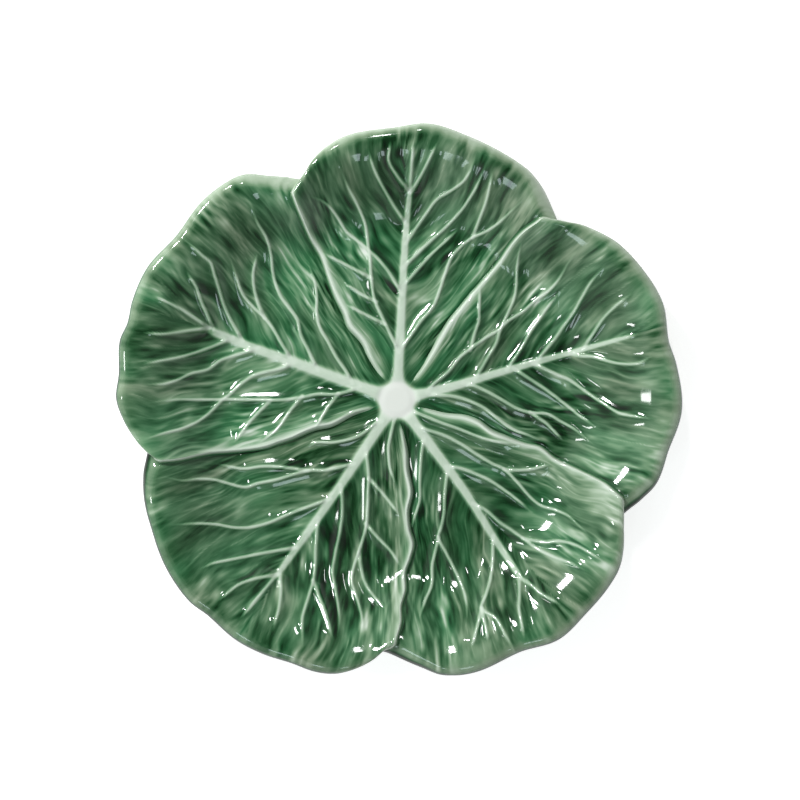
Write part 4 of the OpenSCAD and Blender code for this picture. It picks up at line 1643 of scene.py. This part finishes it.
@dataclass
class Heart:
    """The smooth pale boss that the five midribs run into."""

    form: PlateForm
    radius: float = 9.6 * MM
    proud: float = 0.02 * MM
    sink: float = 0.4 * MM
    sinks: Course = Course(0.0, ((8.2 * MM, 1.4 * MM, 1.0),))
    depth: float = 1.4 * MM
    around: int = 240
    rings: int = 48
    blade_tint: float = 0.55
    rib_tint: float = 0.05
    boss_tint: float = 0.02
    dull: float = 0.3
    flow_cell: float = 3.0 * MM

    def build(self) -> Skin:
        """Builds the boss with the starts of the midribs.

        Returns:
            The closed skin: a cap over the leaves, which sinks into them at its border,
            and a flat bottom under it in the clay.
        """
        form = self.form
        turn = all_round(self.around)
        radius = np.linspace(0, self.radius, self.rings + 1)[None, 1:]
        x, y = radius * np.cos(turn), radius * np.sin(turn)
        parts = [Ribs.over(x, y, plan, form, plan.ribs()[:1]) for plan in PLANS]
        ribs = np.max([p.height for p in parts], 0)
        pale = np.clip(np.max([p.pale for p in parts], 0), 0, 1)
        well = form.foot + form.clay
        sunk = mix(self.proud, -self.sink, self.sinks.at(radius))
        z = well + form.boss(radius, ribs) + sunk
        base = well - self.depth
        grid = np.stack([x, y, z], -1)
        low = np.stack([x[:, -1], y[:, -1], np.full(self.around, base)], -1)[:, None, :]
        tint = mix(mix(self.blade_tint, self.rib_tint, pale), self.boss_tint,
                   form.boss_pale.at(radius))
        tint = np.concatenate([tint, tint[:, -1:]], 1).ravel()
        made = turned_skin(np.concatenate([grid, low], 1),
                           (well + form.boss_h + self.proud, base),
                           {"depth": np.append(tint, [0.0, 0.5])})
        made.values["dull"] = np.full(len(made.points), self.dull)
        made.values["flow"] = made.points / self.flow_cell
        return made

    def dress(self, finish: bpy.types.Material) -> bpy.types.Object:
        """Makes the piece and sets it in the place of its node.

        Args:
            finish: The material that it is given.

        Returns:
            The new object.
        """
        piece = self.build().to_object("glazed_heart")
        piece.data.materials.append(finish)
        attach(piece, "root")
        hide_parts("heart")
        return piece


@dataclass
class FootRing:
    """The ring that the plate stands on, with the smooth glazed face inside it."""

    form: PlateForm
    face_w: float = 2.6 * MM
    wall_w: float = 5.6 * MM
    fillet: float = 1.6 * MM
    root: float = 1.0 * MM
    skin: float = 0.3 * MM
    edge: float = 0.7 * MM
    inset: float = 3.25 * MM
    around: int = 480
    rings: int = 12
    tint: float = 0.5
    cloud: float = 0.12

    def side(self, level: float) -> np.ndarray:
        """Gives one side of the ring as (distance from the middle of its wall, height).

        Args:
            level: Height of the face that the side runs down from.

        Returns:
            A quarter-round fillet, the tapered wall and the rounded edge of the face that
            the ring stands on, from the top down.
        """
        arc = np.radians(np.linspace(0, 90, 9))
        fillet = np.stack([self.wall_w / 2 + self.fillet * (1 - np.sin(arc)),
                           level - self.fillet * (1 - np.cos(arc))], 1)
        edge = np.stack([self.face_w / 2 + self.edge * np.cos(arc),
                         self.edge * (1 - np.sin(arc))], 1)
        return np.concatenate([fillet, edge])

    def profile(self, middle: float) -> np.ndarray:
        """Gives the whole section as (distance from the axis, height).

        Args:
            middle: Distance of the middle of the ring's wall from the axis.

        Returns:
            From the top, which is buried in the clay, down the outer side of the ring and
            up its inner side, and in along the face under the well.
        """
        foot = self.form.foot
        outer = self.side(foot) + [middle, 0]
        inner = self.side(foot - self.skin)[::-1] * [-1, 1] + [middle, 0]
        top = np.array([[outer[0, 0], foot + self.root]])
        under = np.linspace(inner[-1, 0], 0, self.rings + 1)[1:-1]
        under = np.stack([under, np.full_like(under, foot - self.skin)], 1)
        return np.concatenate([top, outer, inner, under])

    def build(self) -> Skin:
        """Turns the section round the plate's axis.

        Returns:
            The closed skin, with the glaze a little deeper on three sides.
        """
        middle = float(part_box("foot_ring")[1][0]) - self.inset
        profile = self.profile(middle)
        turn = all_round(self.around)
        radius, z = profile[None, :, 0], profile[None, :, 1] + 0 * turn
        grid = np.stack([radius * np.cos(turn), radius * np.sin(turn), z], -1)
        cloudy = self.cloud * np.sin(turn * 3) * np.clip(radius / middle, 0, 1)
        depth = np.append(self.tint + cloudy + 0 * z, [self.tint] * 2)
        return turned_skin(grid, (profile[0, 1], profile[-1, 1]), {"depth": depth})

    def dress(self, finish: bpy.types.Material) -> bpy.types.Object:
        """Makes the piece and sets it in the place of its node.

        Args:
            finish: The material that it is given.

        Returns:
            The new object.
        """
        piece = self.build().to_object("glazed_foot_ring")
        piece.data.materials.append(finish)
        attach(piece, "root")
        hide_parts("foot_ring")
        return piece


@dataclass
class Lamp:
    """A rectangular lamp that faces the plate.

    The azimuth is counted anticlockwise from the right, and the elevation up from the floor.
    """

    name: str
    azimuth: float
    elevation: float
    width: float
    height: float
    radiance: float
    tint: tuple[float, float, float] = (1.0, 1.0, 1.0)
    distance: float = 1.6

    def hang(self) -> None:
        """Hangs the lamp. Its power is its radiance times its area times pi."""
        data = bpy.data.lights.new(self.name, "AREA")
        data.shape, data.size, data.size_y = "RECTANGLE", self.width, self.height
        data.energy = self.radiance * self.width * self.height * np.pi
        data.color = self.tint
        lamp = linked(self.name, data)
        a, e = np.radians(self.azimuth), np.radians(self.elevation)
        place = np.array([np.cos(e) * np.cos(a), np.cos(e) * np.sin(a), np.sin(e)])
        lamp.location = place * self.distance
        lamp.rotation_euler = (np.pi / 2 - e, 0.0, a + np.pi / 2)


@dataclass(frozen=True)
class Sky:
    """The room's light from everywhere, as a background.

    It is bright low down at the horizon, plain above that, dim overhead, and glows
    towards the left. Each range is where something comes in, by the height of the
    direction or, for left, by how far it goes the left way.
    """

    plain: float = 0.26
    horizon: float = 0.42
    horizon_ends: tuple[float, float] = (0.12, 0.45)
    zenith: float = 0.15
    zenith_starts: tuple[float, float] = (0.78, 0.95)
    glow: float = 0.4
    glow_way: tuple[float, float] = (-0.9, -0.43)
    glow_left: tuple[float, float] = (0.2, 0.8)
    glow_starts: tuple[float, float] = (0.28, 0.5)
    glow_ends: tuple[float, float] = (0.75, 0.92)

    def paint(self) -> None:
        """Paints the background: its strength adds up the four lights."""
        world = bpy.data.worlds.new("studio")
        bpy.context.scene.world = world
        shader = Shader(world)
        way = shader.add("ShaderNodeTexCoord", "Generated", {}, {})
        across, ahead, up = (shader.part(way, axis) for axis in "XYZ")
        level = (1.0001 - up * up) ** 0.5
        left = (across * self.glow_way[0] + ahead * self.glow_way[1]) / level
        glow = (shader.rise(left, *self.glow_left) * shader.rise(up, *self.glow_starts)
                * (1.0 - shader.rise(up, *self.glow_ends)))
        low = 1.0 - shader.rise(up, *self.horizon_ends)
        zenith = shader.rise(up, *self.zenith_starts)
        strength = (low * self.horizon + self.plain - zenith * self.zenith
                    + glow * self.glow)
        sky = shader.add("ShaderNodeBackground", "Background", {},
                         {"Color": (1, 1, 1, 1), "Strength": strength})
        shader.finish("ShaderNodeOutputWorld", sky)


@dataclass
class Studio:
    """Floor, lamps, background and camera."""

    lens: float = 300.0
    sensor: float = 36.0
    frame_w: float = 0.3739
    heart_px: tuple[float, float] = (397.0, 400.0)
    frame_px: float = 800.0
    floor_half: float = 30.0
    floor_grey: float = 0.8
    floor_glow: float = 0.75

    def lay_floor(self) -> None:
        """Lays a pale floor that shows white to the camera and keeps the plate's shadow."""
        half = self.floor_half
        mesh = bpy.data.meshes.new("floor")
        corners = [(-half, -half, 0), (half, -half, 0), (half, half, 0), (-half, half, 0)]
        mesh.from_pydata(corners, [], [(0, 1, 2, 3)])
        floor = linked("floor", mesh)
        made = bpy.data.materials.new("pale_floor")
        shader = Shader(made)
        matt = shader.add("ShaderNodeBsdfDiffuse", "BSDF", {},
                          {"Color": (*[self.floor_grey] * 3, 1)})
        glow = shader.add("ShaderNodeEmission", "Emission", {}, {"Strength": self.floor_glow})
        both = shader.add("ShaderNodeAddShader", "Shader", {}, {0: matt, 1: glow})
        camera, glossy, through = (
            shader.add("ShaderNodeLightPath", f"Is {kind} Ray", {}, {})
            for kind in ("Camera", "Glossy", "Transmission"))
        seen = shader.add("ShaderNodeMixShader", "Shader", {},
                          {0: camera + glossy + through, 1: matt, 2: both})
        shader.finish("ShaderNodeOutputMaterial", seen)
        mesh.materials.append(made)
        floor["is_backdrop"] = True

    def hang_lamps(self) -> None:
        """Hangs the panes that the glaze mirrors.

        They are a window of two panes at the back left, a high pane at the back, a side
        window at the left, and three cool panes at the front left and the front.
        """
        for lamp in (
            Lamp("window_pane", 139, 43, 0.18, 0.12, 248.0),
            Lamp("window_pane_2", 120, 43, 0.045, 0.12, 248.0),
            Lamp("high_pane", 96, 54, 0.07, 0.24, 45.0),
            Lamp("side_window", 182, 45, 0.1, 0.26, 20.0),
            *(Lamp(name, azimuth, 50, 0.17, 0.3, 5.0, tint=(0.8, 0.95, 1.0))
              for name, azimuth in (("cool_pane", 238), ("cool_pane_2", 256),
                                    ("cool_pane_3", 280))),
        ):
            lamp.hang()

    def set_camera(self) -> None:
        """Sets the camera straight above, so that the plate's rim has the photograph's size."""
        data = bpy.data.cameras.new("camera")
        data.lens, data.sensor_width, data.clip_end = self.lens, self.sensor, 100.0
        camera = linked("camera", data)
        distance = self.frame_w * self.lens / self.sensor
        pixel, middle = self.frame_w / self.frame_px, self.frame_px / 2
        camera.location = ((middle - self.heart_px[0]) * pixel,
                           (self.heart_px[1] - middle) * pixel,
                           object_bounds()[1][2] + distance)
        bpy.context.scene.camera = camera
        bpy.context.scene.view_settings.view_transform = "Standard"

    def build(self) -> None:
        """Sets up the whole studio."""
        self.lay_floor()
        self.hang_lamps()
        Sky().paint()
        self.set_camera()


def main() -> None:
    """Builds the studio and every piece of the plate."""
    form = PlateForm.from_frame()
    Studio().build()
    glaze = Glaze().material()
    makers = [(GlazedLeaf(form, k), glaze) for k in range(len(PLANS))]
    makers += [(Heart(form), glaze), (FootRing(form), FootGlaze().material())]
    for maker, finish in makers:
        piece = maker.dress(finish)
        LOG.info("%s: %d faces", piece.name, len(piece.data.polygons))


if __name__ == "__main__":
    logging.basicConfig(level=logging.INFO, format="%(name)s %(message)s")
    main()
